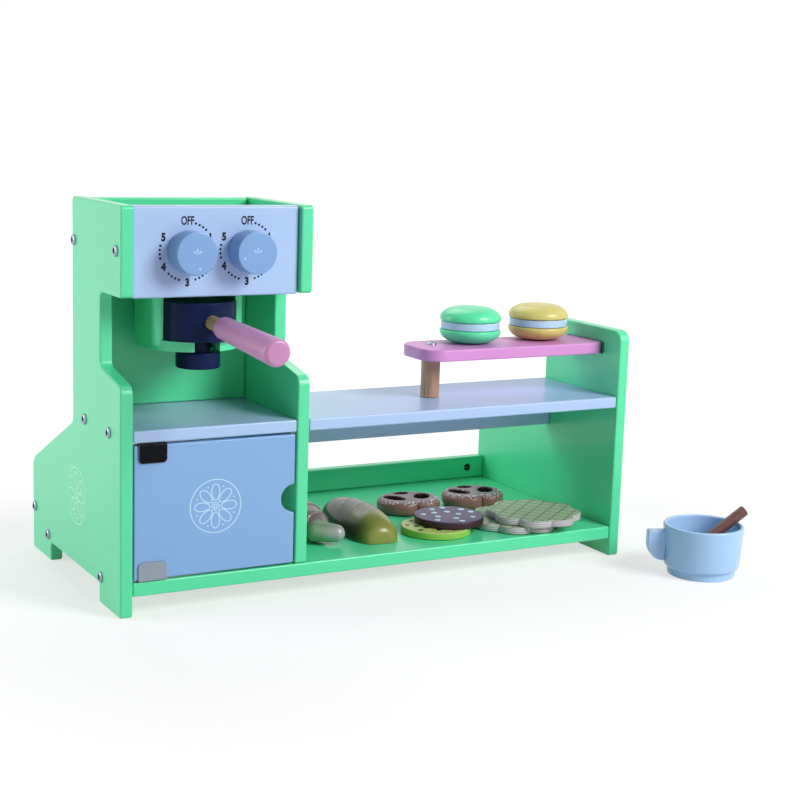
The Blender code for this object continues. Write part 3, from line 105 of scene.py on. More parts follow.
class Look:
    # One material, its nodes and the few calls that every finish here uses
    def __init__(self, name, roughness=0.45, metallic=0.0, coat=0.0, specular=0.5):
        self.material = bpy.data.materials.new(name)
        self.material.use_nodes = True
        self.tree = self.material.node_tree
        self.shader = self.tree.nodes["Principled BSDF"]
        self.shader.inputs["Roughness"].default_value = roughness
        self.shader.inputs["Metallic"].default_value = metallic
        self.shader.inputs["Coat Weight"].default_value = coat
        self.shader.inputs["Coat Roughness"].default_value = 0.12
        self.shader.inputs["Specular IOR Level"].default_value = specular
        place = self.node("ShaderNodeTexCoord")
        self.place = place.outputs["Object"]

    def feed(self, socket, item):
        if isinstance(item, Value):
            item = item.socket
        if isinstance(item, bpy.types.NodeSocket):
            self.tree.links.new(item, socket)
        else:
            socket.default_value = item

    def node(self, kind, settings=None, **inputs):
        # Settings come first, then the values or links of the named sockets
        made = self.tree.nodes.new(kind)
        for key, setting in (settings or {}).items():
            setattr(made, key, setting)
        for key, item in inputs.items():
            self.feed(made.inputs[key.replace("_", " ")], item)
        return made

    def axes(self, source=None):
        # X, Y and Z of a vector as three values
        split = self.node("ShaderNodeSeparateXYZ", Vector=source or self.place)
        return [Value(self, split.outputs[name]) for name in ("X", "Y", "Z")]

    def upward(self):
        # How far a face looks up: 1 on a top, 0 on a side
        return self.axes(self.node("ShaderNodeNewGeometry").outputs["Normal"])[2]

    def shifted(self, centre=(0, 0, 0), turn=(0, 0, 0), scale=(1, 1, 1)):
        # Object coordinates measured from a centre, then turned and stretched
        moved = self.node("ShaderNodeVectorMath", {"operation": "SUBTRACT"})
        self.feed(moved.inputs[0], self.place)
        moved.inputs[1].default_value = centre
        mapped = self.node("ShaderNodeMapping", Vector=moved.outputs[0], Rotation=turn, Scale=scale)
        return mapped.outputs[0]

    def noise(self, scale, detail=2.0, roughness=0.5, source=None):
        where = source or self.place
        found = self.node(
            "ShaderNodeTexNoise", {}, Vector=where, Scale=scale, Detail=detail, Roughness=roughness,
        )
        return Value(self, found.outputs["Fac"])

    def ramp01(self, item, low, high):
        found = self.node("ShaderNodeMapRange", {"interpolation_type": "SMOOTHSTEP", "clamp": True})
        self.feed(found.inputs["Value"], item)
        found.inputs["From Min"].default_value = min(low, high)
        found.inputs["From Max"].default_value = max(low, high)
        found.inputs["To Min"].default_value = 0.0 if low < high else 1.0
        found.inputs["To Max"].default_value = 1.0 if low < high else 0.0
        return Value(self, found.outputs["Result"])

    def mixed(self, share, first, second):
        mix = self.node("ShaderNodeMix", {"data_type": "RGBA"})
        self.feed(mix.inputs["Factor"], share)
        for place, colour in ((6, first), (7, second)):
            if isinstance(colour, tuple):
                colour = (*colour, 1.0)
            self.feed(mix.inputs[place], colour)
        return mix.outputs[2]

    def edges(self, radius):
        # 1 along the rounded edges, 0 on the flat faces
        soft = self.node("ShaderNodeBevel", {"samples": 4}, Radius=radius)
        plain = self.node("ShaderNodeNewGeometry")
        product = self.node("ShaderNodeVectorMath", {"operation": "DOT_PRODUCT"})
        self.feed(product.inputs[0], soft.outputs[0])
        self.feed(product.inputs[1], plain.outputs["Normal"])
        return self.ramp01(Value(self, product.outputs["Value"]), 0.995, 0.90)

    def colour(self, item):
        if isinstance(item, tuple):
            item = (*item, 1.0)
        self.feed(self.shader.inputs["Base Color"], item)

    def bump(self, height, distance, strength=1.0):
        found = self.node("ShaderNodeBump", {}, Height=height, Strength=strength, Distance=distance)
        self.feed(self.shader.inputs["Normal"], found.outputs["Normal"])

    def rough(self, item):
        self.feed(self.shader.inputs["Roughness"], item)


paints = {
    "mint": (0.092, 0.760, 0.375),
    "paleBlue": (0.420, 0.580, 0.860),
    "doorBlue": (0.230, 0.430, 0.750),
    "knobBlue": (0.200, 0.370, 0.690),
    "navy": (0.004, 0.013, 0.060),
    "pink": (0.670, 0.285, 0.640),
    "grip": (0.560, 0.240, 0.480),
    "yellow": (0.640, 0.560, 0.160),
    "filling": (0.440, 0.640, 0.860),
    "cup": (0.380, 0.600, 0.880),
    "mark": (0.004, 0.005, 0.018),
    "palePrint": (0.560, 0.780, 0.980),
    "mintPrint": (0.560, 0.980, 0.760),
    "knobPrint": (0.420, 0.640, 0.960),
}


def toned(colour, share):
    return tuple(min(1.0, part * share) for part in colour)


def paintLook(name, colour, along="x", roughness=0.32, relief=0.00002, coat=0.2, specular=0.45):
    # Sprayed satin paint on plywood: faint grain under it, a little mottling, paler rounded edges
    look = Look(name, roughness=roughness, coat=coat, specular=specular)
    stretch = {"x": (60, 900, 900), "y": (900, 60, 900), "z": (900, 900, 60)}[along]
    grain = look.noise(1.0, 3.0, 0.6, look.shifted(scale=stretch))
    cloud = look.noise(22.0, 3.0)
    spray = look.noise(1400.0, 1.0)
    share = (cloud - 0.5) * 0.35 + (grain - 0.5) * 0.12 + 0.5
    darker = toned(colour, 0.93)
    lighter = tuple(min(1.0, part * 1.05 + 0.006 * max(colour)) for part in colour)
    base = look.mixed(share.within(), darker, lighter)
    worn = tuple(min(1.0, part * 1.08 + 0.01 + 0.03 * max(colour)) for part in colour)
    rubbed = look.edges(0.0012) * (look.noise(90.0, 2.0) * 0.6 + 0.15)
    look.colour(look.mixed(rubbed, base, worn))
    look.rough((cloud - 0.5) * 0.10 + (grain - 0.5) * 0.06 + roughness)
    look.bump(grain * 0.5 + spray * 0.5, relief, 0.6)
    return look.material


def printLook(name, colour):
    # Thin screen print: a touch uneven, a little rougher than the paint under it
    look = Look(name, roughness=0.5, specular=0.25)
    grain = look.noise(900.0, 2.0)
    look.colour(look.mixed(grain * 0.35, colour, toned(colour, 0.8)))
    look.bump(grain, 0.00001)
    return look.material


def woodLook(name, pale, dark, along="z", roughness=0.55):
    # Bare turned wood: long fibres, short dark pores and slow bands of growth
    look = Look(name, roughness=roughness)
    wide, tall = 420, 26
    stretch = {"x": (tall, wide, wide), "y": (wide, tall, wide), "z": (wide, wide, tall)}[along]
    fibres = look.noise(1.0, 5.0, 0.62, look.shifted(scale=stretch))
    bands = look.noise(1.0, 2.0, 0.5, look.shifted(scale=tuple(part * 0.22 for part in stretch)))
    pores = look.noise(1.0, 1.0, 0.5, look.shifted(scale=tuple(part * 2.4 for part in stretch)))
    flecks = pores.above(0.66, 0.03)
    share = (fibres - 0.5) * 1.3 + (bands - 0.5) * 0.9 + 0.5
    base = look.mixed(share.within(), dark, pale)
    look.colour(look.mixed(flecks * 0.55, base, toned(dark, 0.45)))
    look.rough((fibres - 0.5) * 0.2 + roughness)
    look.bump(fibres - flecks * 0.5, 0.00008, 0.7)
    return look.material


def metalLook(name, colour, roughness, along="x", rim=None):
    # Plated steel with fine drawn lines and a few dull patches
    look = Look(name, roughness=roughness, metallic=1.0)
    stretch = {"x": (120, 5200, 5200), "z": (5200, 5200, 120)}[along]
    lines = look.noise(1.0, 2.0, 0.5, look.shifted(scale=stretch))
    patches = look.noise(160.0, 3.0)
    base = look.mixed(patches, toned(colour, 0.82), colour)
    look.colour(look.mixed(look.edges(0.0004), base, rim or toned(colour, 1.2)))
    look.rough((patches - 0.5) * 0.22 + (lines - 0.5) * 0.12 + roughness)
    look.bump(lines, 0.000012, 0.6)
    return look.material


# Meshes

def turnedCorners(corners, radii, closed=True, stepAngle=9):
    # Points along an outline whose corners are rounded with the given radii
    points = []
    count = len(corners)
    for index, corner in enumerate(corners):
        here = Vector(corner)
        radius = radii[index]
        if radius == 0 or (not closed and index in (0, count - 1)):
            points.append(here)
            continue
        before = (Vector(corners[index - 1]) - here).normalized()
        after = (Vector(corners[(index + 1) % count]) - here).normalized()
        half = acos(max(-1.0, min(1.0, before.dot(after)))) / 2
        centre = here + (before + after).normalized() * (radius / sin(half))
        sweep = pi - 2 * half
        parts = max(3, ceil(sweep / radians(stepAngle)))
        start = here + before * (radius / tan(half)) - centre
        direction = 1 if before.x * after.y - before.y * after.x < 0 else -1
        for part in range(parts + 1):
            turn = Matrix.Rotation(direction * sweep * part / parts, 2)
            points.append(centre + turn @ start)
    return [(point.x, point.y) for point in points]


def meshFrom(form, name):
    bmesh.ops.remove_doubles(form, verts=form.verts, dist=0.000001)
    bmesh.ops.recalc_face_normals(form, faces=form.faces)
    data = bpy.data.meshes.new(name)
    form.to_mesh(data)
    form.free()
    return data


def pulled(outline, axis, start, depth, name="pulled"):
    # An outline in YZ, XZ or XY pulled along X, Y or Z
    layouts = {
        "x": lambda u, v, w: (w, u, v),
        "y": lambda u, v, w: (u, w, v),
        "z": lambda u, v, w: (u, v, w),
    }
    layout = layouts[axis]
    form = bmesh.new()
    near = [form.verts.new(layout(u, v, start)) for u, v in outline]
    far = [form.verts.new(layout(u, v, start + depth)) for u, v in outline]
    form.faces.new(near)
    form.faces.new(far)
    for index in range(len(near)):
        follow = (index + 1) % len(near)
        form.faces.new((near[index], near[follow], far[follow], far[index]))
    return meshFrom(form, name)


def ringsMesh(rings, name, caps=False):
    # Faces between neighbouring rings of points; a ring of one point is a pole
    form = bmesh.new()
    rows = [[form.verts.new(point) for point in ring] for ring in rings]
    for lower, upper in zip(rows, rows[1:]):
        for index in range(max(len(lower), len(upper))):
            follow = index + 1
            corners = [lower[index % len(lower)], lower[follow % len(lower)]]
            corners += [upper[follow % len(upper)], upper[index % len(upper)]]
            form.faces.new(list(dict.fromkeys(corners)))
    if caps:
        form.faces.new(rows[0])
        form.faces.new(rows[-1])
    return meshFrom(form, name)


def turnedMesh(profile, sides, name):
    # A lathed form about Z; the profile runs from the axis back to the axis
    rings = []
    for radius, height in profile:
        if radius < 1e-7:
            rings.append([(0, 0, height)])
            continue
        angles = [2 * pi * side / sides for side in range(sides)]
        rings.append([(radius * cos(angle), radius * sin(angle), height) for angle in angles])
    return ringsMesh(rings, name)


def newObject(name, data):
    made = bpy.data.objects.new(name, data)
    bpy.context.scene.collection.objects.link(made)
    return made


def settled(thing, sharp=38):
    # Apply every modifier and put the place into the mesh
    bpy.context.view_layer.update()
    graph = bpy.context.evaluated_depsgraph_get()
    data = bpy.data.meshes.new_from_object(thing.evaluated_get(graph))
    data.transform(thing.matrix_world)
    data.shade_smooth()
    data.set_sharp_from_angle(angle=radians(sharp))
    thing.modifiers.clear()
    thing.data = data
    thing.matrix_world = Matrix.Identity(4)
    return thing


def rounded(thing, width, segments=4, angle=50):
    step = thing.modifiers.new("rounded", "BEVEL")
    step.width = width
    step.segments = segments
    step.limit_method = "ANGLE"
    step.angle_limit = radians(angle)
    return thing


def shaped(thing, cutter, operation="DIFFERENCE"):
    # Cut or join with another object, then remove it
    step = thing.modifiers.new("shaped", "BOOLEAN")
    step.operation = operation
    step.solver = "EXACT"
    step.object = cutter
    settled(thing)
    bpy.data.objects.remove(cutter)
    return thing


def bored(thing, place, direction, radius, depth, sides=32):
    # A round hole from a place along a direction
    profile = [(0, -mm), (radius, -mm), (radius, depth), (0, depth)]
    drill = newObject("drill", turnedMesh(profile, sides, "drill"))
    turn = Vector(direction).to_track_quat("Z", "Y").to_matrix().to_4x4()
    drill.matrix_world = Matrix.Translation(place) @ turn
    return shaped(thing, drill)


def dressed(thing, material, body, nodes=()):
    # Give a finished piece its material and body, and hide the solids that it stands for
    thing.data.materials.clear()
    thing.data.materials.append(material)
    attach(thing, body)
    if nodes:
        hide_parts(*nodes)
    return thing


# Geometry Nodes

class Recipe:
    # One Geometry Nodes tree whose named inputs a user can change
    def __init__(self, name, sizes):
        self.tree = bpy.data.node_groups.new(name, "GeometryNodeTree")
        face = self.tree.interface
        face.new_socket("Geometry", in_out="INPUT", socket_type="NodeSocketGeometry")
        face.new_socket("Geometry", in_out="OUTPUT", socket_type="NodeSocketGeometry")
        kinds = {bool: "Bool", int: "Int", float: "Float"}
        for key, value in sizes.items():
            kind = kinds.get(type(value)) or type(value).__name__
            face.new_socket(key, in_out="INPUT", socket_type=f"NodeSocket{kind}")
        self.sizes = sizes
        self.start = self.tree.nodes.new("NodeGroupInput")
        self.end = self.tree.nodes.new("NodeGroupOutput")

    def node(self, kind, settings=None, **inputs):
        made = self.tree.nodes.new(kind)
        for key, setting in (settings or {}).items():
            setattr(made, key, setting)
        for key, item in inputs.items():
            self.join(item, made.inputs[key.replace("_", " ")])
        return made

    def join(self, item, socket):
        if isinstance(item, str) and item in self.sizes:
            item = self.start.outputs[item]
        if isinstance(item, bpy.types.NodeSocket):
            self.tree.links.new(item, socket)
        else:
            socket.default_value = item

    def maths(self, operation, *items):
        made = self.tree.nodes.new("ShaderNodeMath")
        made.operation = operation
        for place, item in enumerate(items):
            self.join(item, made.inputs[place])
        return made.outputs[0]

    def finishWith(self, geometry, material):
        whole = self.node("GeometryNodeRealizeInstances", Geometry=geometry)
        painted = self.node("GeometryNodeSetMaterial", Geometry=whole.outputs[0], Material=material)
        self.tree.links.new(painted.outputs[0], self.end.inputs[0])

    def cook(self, thing, sharp=38):
        # Set the inputs by their identifiers, evaluate once and keep the plain mesh
        step = thing.modifiers.new(self.tree.name, "NODES")
        step.node_group = self.tree
        for item in self.tree.interface.items_tree:
            if item.in_out == "INPUT" and item.name in self.sizes:
                step[item.identifier] = self.sizes[item.name]
        return settled(thing, sharp)


def repeated(name, places, shape, material, sizeShares=None):
    # One mesh with the shape on every place, its Z along the place's direction
    form = bpy.data.meshes.new(name)
    form.from_pydata([tuple(place) for place, facing, spin in places], [], [])
    columns = {
        "spin": [spin for place, facing, spin in places],
        "share": sizeShares or [1.0] * len(places),
    }
    for key, numbers in columns.items():
        form.attributes.new(key, "FLOAT", "POINT").data.foreach_set("value", numbers)
    flat = [part for place, facing, spin in places for part in facing]
    form.attributes.new("facing", "FLOAT_VECTOR", "POINT").data.foreach_set("vector", flat)
    recipe = Recipe(name + "Recipe", {"Shape": shape, "Finish": material})
    read = recipe.node
    facing = read("GeometryNodeInputNamedAttribute", {"data_type": "FLOAT_VECTOR"}, Name="facing")
    spin = read("GeometryNodeInputNamedAttribute", {"data_type": "FLOAT"}, Name="spin")
    share = read("GeometryNodeInputNamedAttribute", {"data_type": "FLOAT"}, Name="share")
    turned = read("FunctionNodeAlignRotationToVector", {"axis": "Z"}, Vector=facing.outputs[0])
    about = read("FunctionNodeAxisAngleToRotation", {}, Axis=(0, 0, 1), Angle=spin.outputs[0])
    both = read(
        "FunctionNodeRotateRotation", {"rotation_space": "LOCAL"},
        Rotation=turned.outputs[0], Rotate_By=about.outputs[0],
    )
    source = read("GeometryNodeObjectInfo", {}, Object="Shape")
    placed = read(
        "GeometryNodeInstanceOnPoints", {}, Points=recipe.start.outputs["Geometry"],
        Instance=source.outputs["Geometry"], Rotation=both.outputs[0], Scale=share.outputs[0],
    )
    recipe.finishWith(placed.outputs[0], "Finish")
    return recipe.cook(newObject(name, form))


# Finishes

mintAlong = {key: paintLook("mintPaint" + key.upper(), paints["mint"], key) for key in "xz"}
paleBluePaint = paintLook("paleBluePaintX", paints["paleBlue"], "x", coat=0.1, specular=0.35)
doorPaint = paintLook("doorBluePaint", paints["doorBlue"], "z", 0.38)
knobPaint = paintLook("knobPaint", paints["knobBlue"], "y", 0.40)
navyPaint = paintLook("navyPaint", paints["navy"], "z", 0.34, coat=0.0, specular=0.10)
pinkPaint = paintLook("pinkPaint", paints["pink"], "x", 0.38, coat=0.05, specular=0.3)
gripPaint = paintLook("gripPaint", paints["grip"], "y", 0.34)
greenShellPaint = paintLook("greenShellPaint", paints["mint"], "x", 0.36)
yellowPaint = paintLook("yellowPaint", paints["yellow"], "x", 0.38)
fillingPaint = paintLook("fillingPaint", paints["filling"], "x", 0.45)
cupPaint = paintLook("cupPaint", paints["cup"], "z", 0.36)
bareBeech = woodLook("bareBeech", (0.560, 0.330, 0.220), (0.340, 0.170, 0.110), "z")
dowelBeech = woodLook("dowelBeech", (0.400, 0.300, 0.150), (0.200, 0.130, 0.060), "y")
stickStain = woodLook("stickStain", (0.200, 0.075, 0.055), (0.085, 0.030, 0.025), "x", 0.45)
brightZinc = metalLook("brightZinc", (0.34, 0.39, 0.46), 0.20)
darkSteel = metalLook("darkSteel", (0.010, 0.011, 0.014), 0.26, rim=(0.42, 0.44, 0.48))
markInk = printLook("markInk", paints["mark"])
palePrint = printLook("palePrint", paints["palePrint"])
mintPrint = printLook("mintPrint", paints["mintPrint"])
knobPrint = printLook("knobPrint", paints["knobPrint"])
print("finishes made")

# Panels and boards

towerHead = [(100.4, 276.4), (0, 276.4), (0, 216), (41.3, 216), (41.3, 165.8), (0, 157.9)]
towerRounds = [3, 3, 3, 5, 5, 8]
footOutline = [(0, 0), (43, 0), (43, 13.9), (154.6, 13.9), (154.6, 0), (200, 0), (200, 70.7), (100.4, 117.4)]
footRounds = [2, 2, 2, 2, 2, 2, 12, 8]
connectorHoles = [(39.3, 19), (160.8, 19), (22.7, 123.5), (73.5, 123.5), (194, 33.5)]
headHoles = [(95.7, 246.3), (8.6, 246.3)]
boardSizes = {
    "thickness": 9.0,
    "edgeRound": 1.3,
    "boltHoleRadius": 2.5,
}
mortiseSizes = {
    "front": 20.6, "back": 71.9, "low": 158.6, "high": 168.4, "round": 3.0, "outside": 402.9, "depth": 4.3,
}
boardPlan = [
    # name, outline, rounds, pulled along, start, thickness, paint, slot, node
    (
        "leftPanel", footOutline + towerHead, footRounds + towerRounds, "x", 0, 9,
        mintAlong["z"], "mint_paint", "left_panel",
    ),
    (
        "middlePanel", [(0, 24.3), (189.2, 24.3), (189.2, 75.76), (100.4, 117.4)] + towerHead,
        [2, 2, 3, 8] + towerRounds, "x", 129, 9, mintAlong["z"], "mint_paint", "middle_panel",
    ),
    (
        "rightPanel", footOutline + [(100.4, 179.5), (0, 179.5)], footRounds + [3, 9],
        "x", 403.9, 9, mintAlong["z"], "mint_paint", "right_end_panel",
    ),
    ("baseBoard", (9.3, 0.6, 403.6, 199.4), 0, "z", 14, 10, mintAlong["x"], "mint_paint", "base_board"),
    (
        "machineTray", (9.3, 0.6, 128.7, 100.4), 0, "z", 119.2, 8.6,
        paleBluePaint, "pale_blue_paint", "machine_tray",
    ),
    ("backBoard", (9.3, 128.1, 128.7, 275.8), 0, "y", 91.2, 9, mintAlong["z"], "mint_paint", "back_board"),
    (
        "controlPanel", (9.3, 215.2, 128.7, 275.8), 0, "y", 4.1, 9,
        paleBluePaint, "pale_blue_paint", "control_panel",
    ),
    (
        "counterShelf", (138.3, 0.6, 403.6, 100.4), 0, "z", 119.2, 8.6,
        paleBluePaint, "pale_blue_paint", "counter_shelf",
    ),
    ("shelfApron", (138.3, 89.9, 403.6, 118.9), 0, "y", 90, 9, paleBluePaint, "pale_blue_paint", "shelf_apron"),
    ("backRail", (9.3, 24.3, 403.6, 43), 0, "y", 189.5, 9, mintAlong["x"], "mint_paint", "back_rail"),
]


def boxOutline(corners):
    left, low, right, high = corners
    return [(left, low), (right, low), (right, high), (left, high)]


def scaledOutline(outline, axis):
    # Millimetres in the shop's own frame to metres in the frame of the CAD
    offset = {"x": (shopZero.y, 0), "y": (shopZero.x, 0), "z": (shopZero.x, shopZero.y)}[axis]
    return [(u * mm + offset[0], v * mm + offset[1]) for u, v in outline]


def board(name, outline, rounds, axis, start, thickness, edge=1.3):
    corners = turnedCorners(outline, rounds, stepAngle=6) if rounds else outline
    begin = {"x": shopZero.x, "y": shopZero.y, "z": 0}[axis] + start * mm
    thing = newObject(name, pulled(scaledOutline(corners, axis), axis, begin, thickness * mm, name))
    settled(rounded(thing, edge * mm))
    return thing


boards = {}
for name, outline, rounds, axis, start, thickness, paint, slot, node in boardPlan:
    if not rounds:
        outline = boxOutline(outline)
    edge = 1.8 if name == "controlPanel" else boardSizes["edgeRound"]
    boards[name] = (board(name, outline, rounds, axis, start, thickness, edge), paint, slot, node)

holeRadius = boardSizes["boltHoleRadius"] * mm
boardDepth = boardSizes["thickness"] * mm + mm
panelHoles = {
    "leftPanel": (0, (1, 0, 0), connectorHoles + headHoles),
    "middlePanel": (138, (-1, 0, 0), headHoles),
    "rightPanel": (412.9, (-1, 0, 0), connectorHoles + [(46.25, 163.5)]),
}
for name, (x, direction, holes) in panelHoles.items():
    for y, z in holes:
        bored(boards[name][0], at(x, y, z), direction, holeRadius, boardDepth)
size = mortiseSizes
mortise = boxOutline((size["front"], size["low"], size["back"], size["high"]))
mortise = turnedCorners(mortise, [size["round"]] * 4)
mortiseMesh = pulled(scaledOutline(mortise, "x"), "x", shopZero.x + size["outside"] * mm, size["depth"] * mm)
shaped(boards["rightPanel"][0], newObject("mortise", mortiseMesh))
endHoles = {
    # Bolt holes in the boards' ends: board, end, direction, places
    "baseBoard": [(9.3, (1, 0, 0), [(39.3, 19), (160.8, 19)]), (403.6, (-1, 0, 0), [(39.3, 19), (160.8, 19)])],
    "machineTray": [(9.3, (1, 0, 0), [(22.7, 123.5), (73.5, 123.5)])],
    "counterShelf": [(403.6, (-1, 0, 0), [(22.7, 123.5), (73.5, 123.5)])],
    "backBoard": [(9.3, (1, 0, 0), [(95.7, 246.3)]), (128.7, (-1, 0, 0), [(95.7, 246.3)])],
    "controlPanel": [(9.3, (1, 0, 0), [(8.6, 246.3)]), (128.7, (-1, 0, 0), [(8.6, 246.3)])],
    "backRail": [(9.3, (1, 0, 0), [(194, 33.5)]), (403.6, (-1, 0, 0), [(194, 33.5)])],
}
for name, ends in endHoles.items():
    for x, direction, holes in ends:
        for y, z in holes:
            bored(boards[name][0], at(x, y, z), direction, holeRadius, 20 * mm)
for name, place, direction, radius, depth in (
    ("controlPanel", (47.6, 4.1, 245.5), (0, 1, 0), 2.4, 10),
    ("controlPanel", (90.4, 4.1, 245.5), (0, 1, 0), 2.4, 10),
    ("machineTray", (16.0, 3.2, 119.2), (0, 0, 1), 2.3, 5.5),
    ("baseBoard", (16.0, 3.2, 24.0), (0, 0, -1), 2.3, 5.5),
    ("backRail", (387.1, 189.5, 33.5), (0, 1, 0), 3.3, 8.8),
):
    # Holes for the knobs' screws, the door's pins and the rail's nut
    bored(boards[name][0], at(*place), direction, radius * mm, depth * mm)


def flatLit(thing):
    # Keep flat faces evenly lit beside their rounded edges, then fix the result
    step = thing.modifiers.new("weighted", "WEIGHTED_NORMAL")
    step.keep_sharp = True
    step.weight = 100
    bpy.context.view_layer.update()
    graph = bpy.context.evaluated_depsgraph_get()
    data = bpy.data.meshes.new_from_object(thing.evaluated_get(graph))
    thing.modifiers.clear()
    thing.data = data
    return thing


for name, (thing, paint, slot, node) in boards.items():
    dressed(flatLit(thing), paint, "shop", [node])
stopBlock = board("doorStop", boxOutline((119.7, 9.5, 128.7, 18.5)), 0, "z", 99.2, 14, 0.8)
dressed(flatLit(stopBlock), bareBeech, "shop", ["door_stop"])
print("boards done")

# Door with its finger notch and two sheet clips

doorSizes = {
    "left": 9.8, "right": 127.5, "low": 25.5, "high": 117.7,
    "front": 0.2, "thickness": 9.0, "edgeRound": 1.5,
    "notchRadius": 10.0, "notchHeight": 72.2,
    "pinX": 16.0, "pinY": 3.2, "pinRadius": 1.9,
}
notch = []
for step in range(33):
    angle = -pi / 2 - pi * step / 32
    notch.append((
        doorSizes["right"] + doorSizes["notchRadius"] * cos(angle),
        doorSizes["notchHeight"] + doorSizes["notchRadius"] * sin(angle),
    ))
doorOutline = [(doorSizes["left"], doorSizes["low"]), (doorSizes["right"], doorSizes["low"])]
doorOutline += notch + [(doorSizes["right"], doorSizes["high"]), (doorSizes["left"], doorSizes["high"])]
doorLeaf = newObject("doorLeaf", pulled(
    scaledOutline(doorOutline, "y"), "y", shopZero.y + doorSizes["front"] * mm, doorSizes["thickness"] * mm,
))
settled(rounded(doorLeaf, doorSizes["edgeRound"] * mm))
dressed(flatLit(doorLeaf), doorPaint, "door", ["door"])


def doorClip(name, plateLow, plateHigh, upward, material, node):
    # A bent sheet: a plate on the face, a flange over the door's edge, and the pin that turns
    sheet, bend = 0.8, 1.1
    edgeHeight = plateHigh if upward else plateLow
    sign = 1 if upward else -1
    flange = edgeHeight
    outer, inner = [], []
    for step in range(9):
        angle = pi / 2 * step / 8
        outer.append((-0.9 + bend * (1 - cos(angle)), flange - sign * bend * (1 - sin(angle))))
        back, drop = (bend - sheet) * (1 - cos(angle)), (bend - sheet) * (1 - sin(angle))
        inner.append((-0.1 + back, flange - sign * (sheet + drop)))
    far = plateLow if upward else plateHigh
    section = [(-0.9, far)] + outer + [(6.3, flange), (6.3, flange - sign * sheet)] + inner[::-1] + [(-0.1, far)]
    thing = newObject(name, pulled(scaledOutline(section, "x"), "x", shopZero.x + 12.6 * mm, 20 * mm))
    # Round the plate's free corners and narrow the flange with a cutter of the sheet's own outline
    lowEnd, highEnd = min(plateLow, plateHigh), max(plateLow, plateHigh)
    if upward:
        outline = turnedCorners([(12.6, lowEnd), (32.6, lowEnd), (32.6, highEnd + 2), (12.6, highEnd + 2)], [3, 3, 0, 0])
    else:
        outline = turnedCorners([(12.6, lowEnd - 2), (32.6, lowEnd - 2), (32.6, highEnd), (12.6, highEnd)], [0, 0, 3, 3])
    keep = newObject("keep", pulled(scaledOutline(outline, "y"), "y", shopZero.y - 3 * mm, 12 * mm))
    shaped(thing, keep, "INTERSECT")
    flangeOutline = turnedCorners([(12.6, -3), (32.6, -3), (32.6, 6.3), (12.6, 6.3)], [0, 0, 3, 3])
    low, tall = (lowEnd - 3) * mm, (highEnd - lowEnd + 6) * mm
    keep = newObject("keep", pulled(scaledOutline(flangeOutline, "z"), "z", low, tall))
    shaped(thing, keep, "INTERSECT")
    settled(rounded(thing, 0.18 * mm, 2, 40))
    pinStart = flange - sign * 0.6
    pinRadius = doorSizes["pinRadius"]
    profile = turnedCorners([(0, 0), (pinRadius, 0), (pinRadius, 5.6), (0, 5.6)], [0, 0, 0.5, 0], False)
    pin = newObject("pin", turnedMesh([(r * mm, h * mm) for r, h in profile], 32, "pin"))
    turn = Matrix.Identity(4) if upward else Matrix.Rotation(pi, 4, "X")
    pin.matrix_world = Matrix.Translation(at(doorSizes["pinX"], doorSizes["pinY"], pinStart)) @ turn
    settled(pin)
    shaped(thing, pin, "UNION")
    dressed(flatLit(thing), material, "door", [node])


doorClip("topClip", 105.6, 118.8, True, darkSteel, "top_hinge_clip")
doorClip("bottomClip", 24.4, 37.6, False, brightZinc, "bottom_hinge_clip")
print("door done")


# Turned pieces

def lathe(name, corners, rounds, sides=96, stepAngle=9):
    # A closed turned form from a profile in millimetres, its corners rounded
    profile = turnedCorners(corners, rounds, False, stepAngle)
    return newObject(name, turnedMesh([(abs(r) * mm, h * mm) for r, h in profile], sides, name))


def rod(name, radius, low, high, rounds, sides=96, stepAngle=9):
    corners = [(0, low), (radius, low), (radius, high), (0, high)]
    return lathe(name, corners, [0, *rounds, 0], sides, stepAngle)


def placed(thing, place, direction=(0, 0, 1), spin=0.0):
    turn = Vector(direction).to_track_quat("Z", "Y").to_matrix().to_4x4()
    thing.matrix_world = Matrix.Translation(place) @ turn @ Matrix.Rotation(spin, 4, "Z")
    return settled(thing)


# Connector bolts: a low dome with a hexagonal recess on a plain shank

boltSizes = {
    "headRadius": 3.9, "headHeight": 1.6, "headRound": 1.1,
    "recessRadius": 2.2, "recessDepth": 1.3, "shankRadius": 2.1, "shankLength": 26.0,
}


def boltShape(sizes, name, slot=False):
    corners = [
        (0, -sizes["shankLength"]), (sizes["shankRadius"], -sizes["shankLength"]), (sizes["shankRadius"], 0),
        (sizes["headRadius"], 0), (sizes["headRadius"], sizes["headHeight"]), (0, sizes["headHeight"]),
    ]
    thing = lathe(name, corners, [0, 0.4, 0, 0.15, sizes["headRound"], 0], 48, 15)
    half = sizes["recessRadius"]
    recess = [[(half * cos(pi / 3 * k), half * sin(pi / 3 * k)) for k in range(6)]]
    if slot:
        # A cross instead of the hexagon
        recess = [boxOutline((-half, -0.55, half, 0.55)), boxOutline((-0.55, -half, 0.55, half))]
    depth = sizes["headHeight"] - sizes["recessDepth"]
    for outline in recess:
        cutter = pulled([(u * mm, v * mm) for u, v in outline], "z", depth * mm, 3 * mm)
        shaped(thing, newObject("cutter", cutter))
    return thing


def boltPlaces():
    # Panel's face, the way its bolts look, its holes and two numbers that spread the bolts' turns
    found = []
    for x, out, holes, first, second in (
        (0, -1, headHoles + connectorHoles, 7.3, 3.1), (138, 1, headHoles, 5.1, 1.0),
        (412.9, 1, connectorHoles, 3.7, 1.0),
    ):
        found += [(at(x, y, z), (out, 0, 0), (y * first + z * second) % 1.0) for y, z in holes]
    return found + [(at(412.9, 46.25, 163.5), (1, 0, 0), 0.4)]


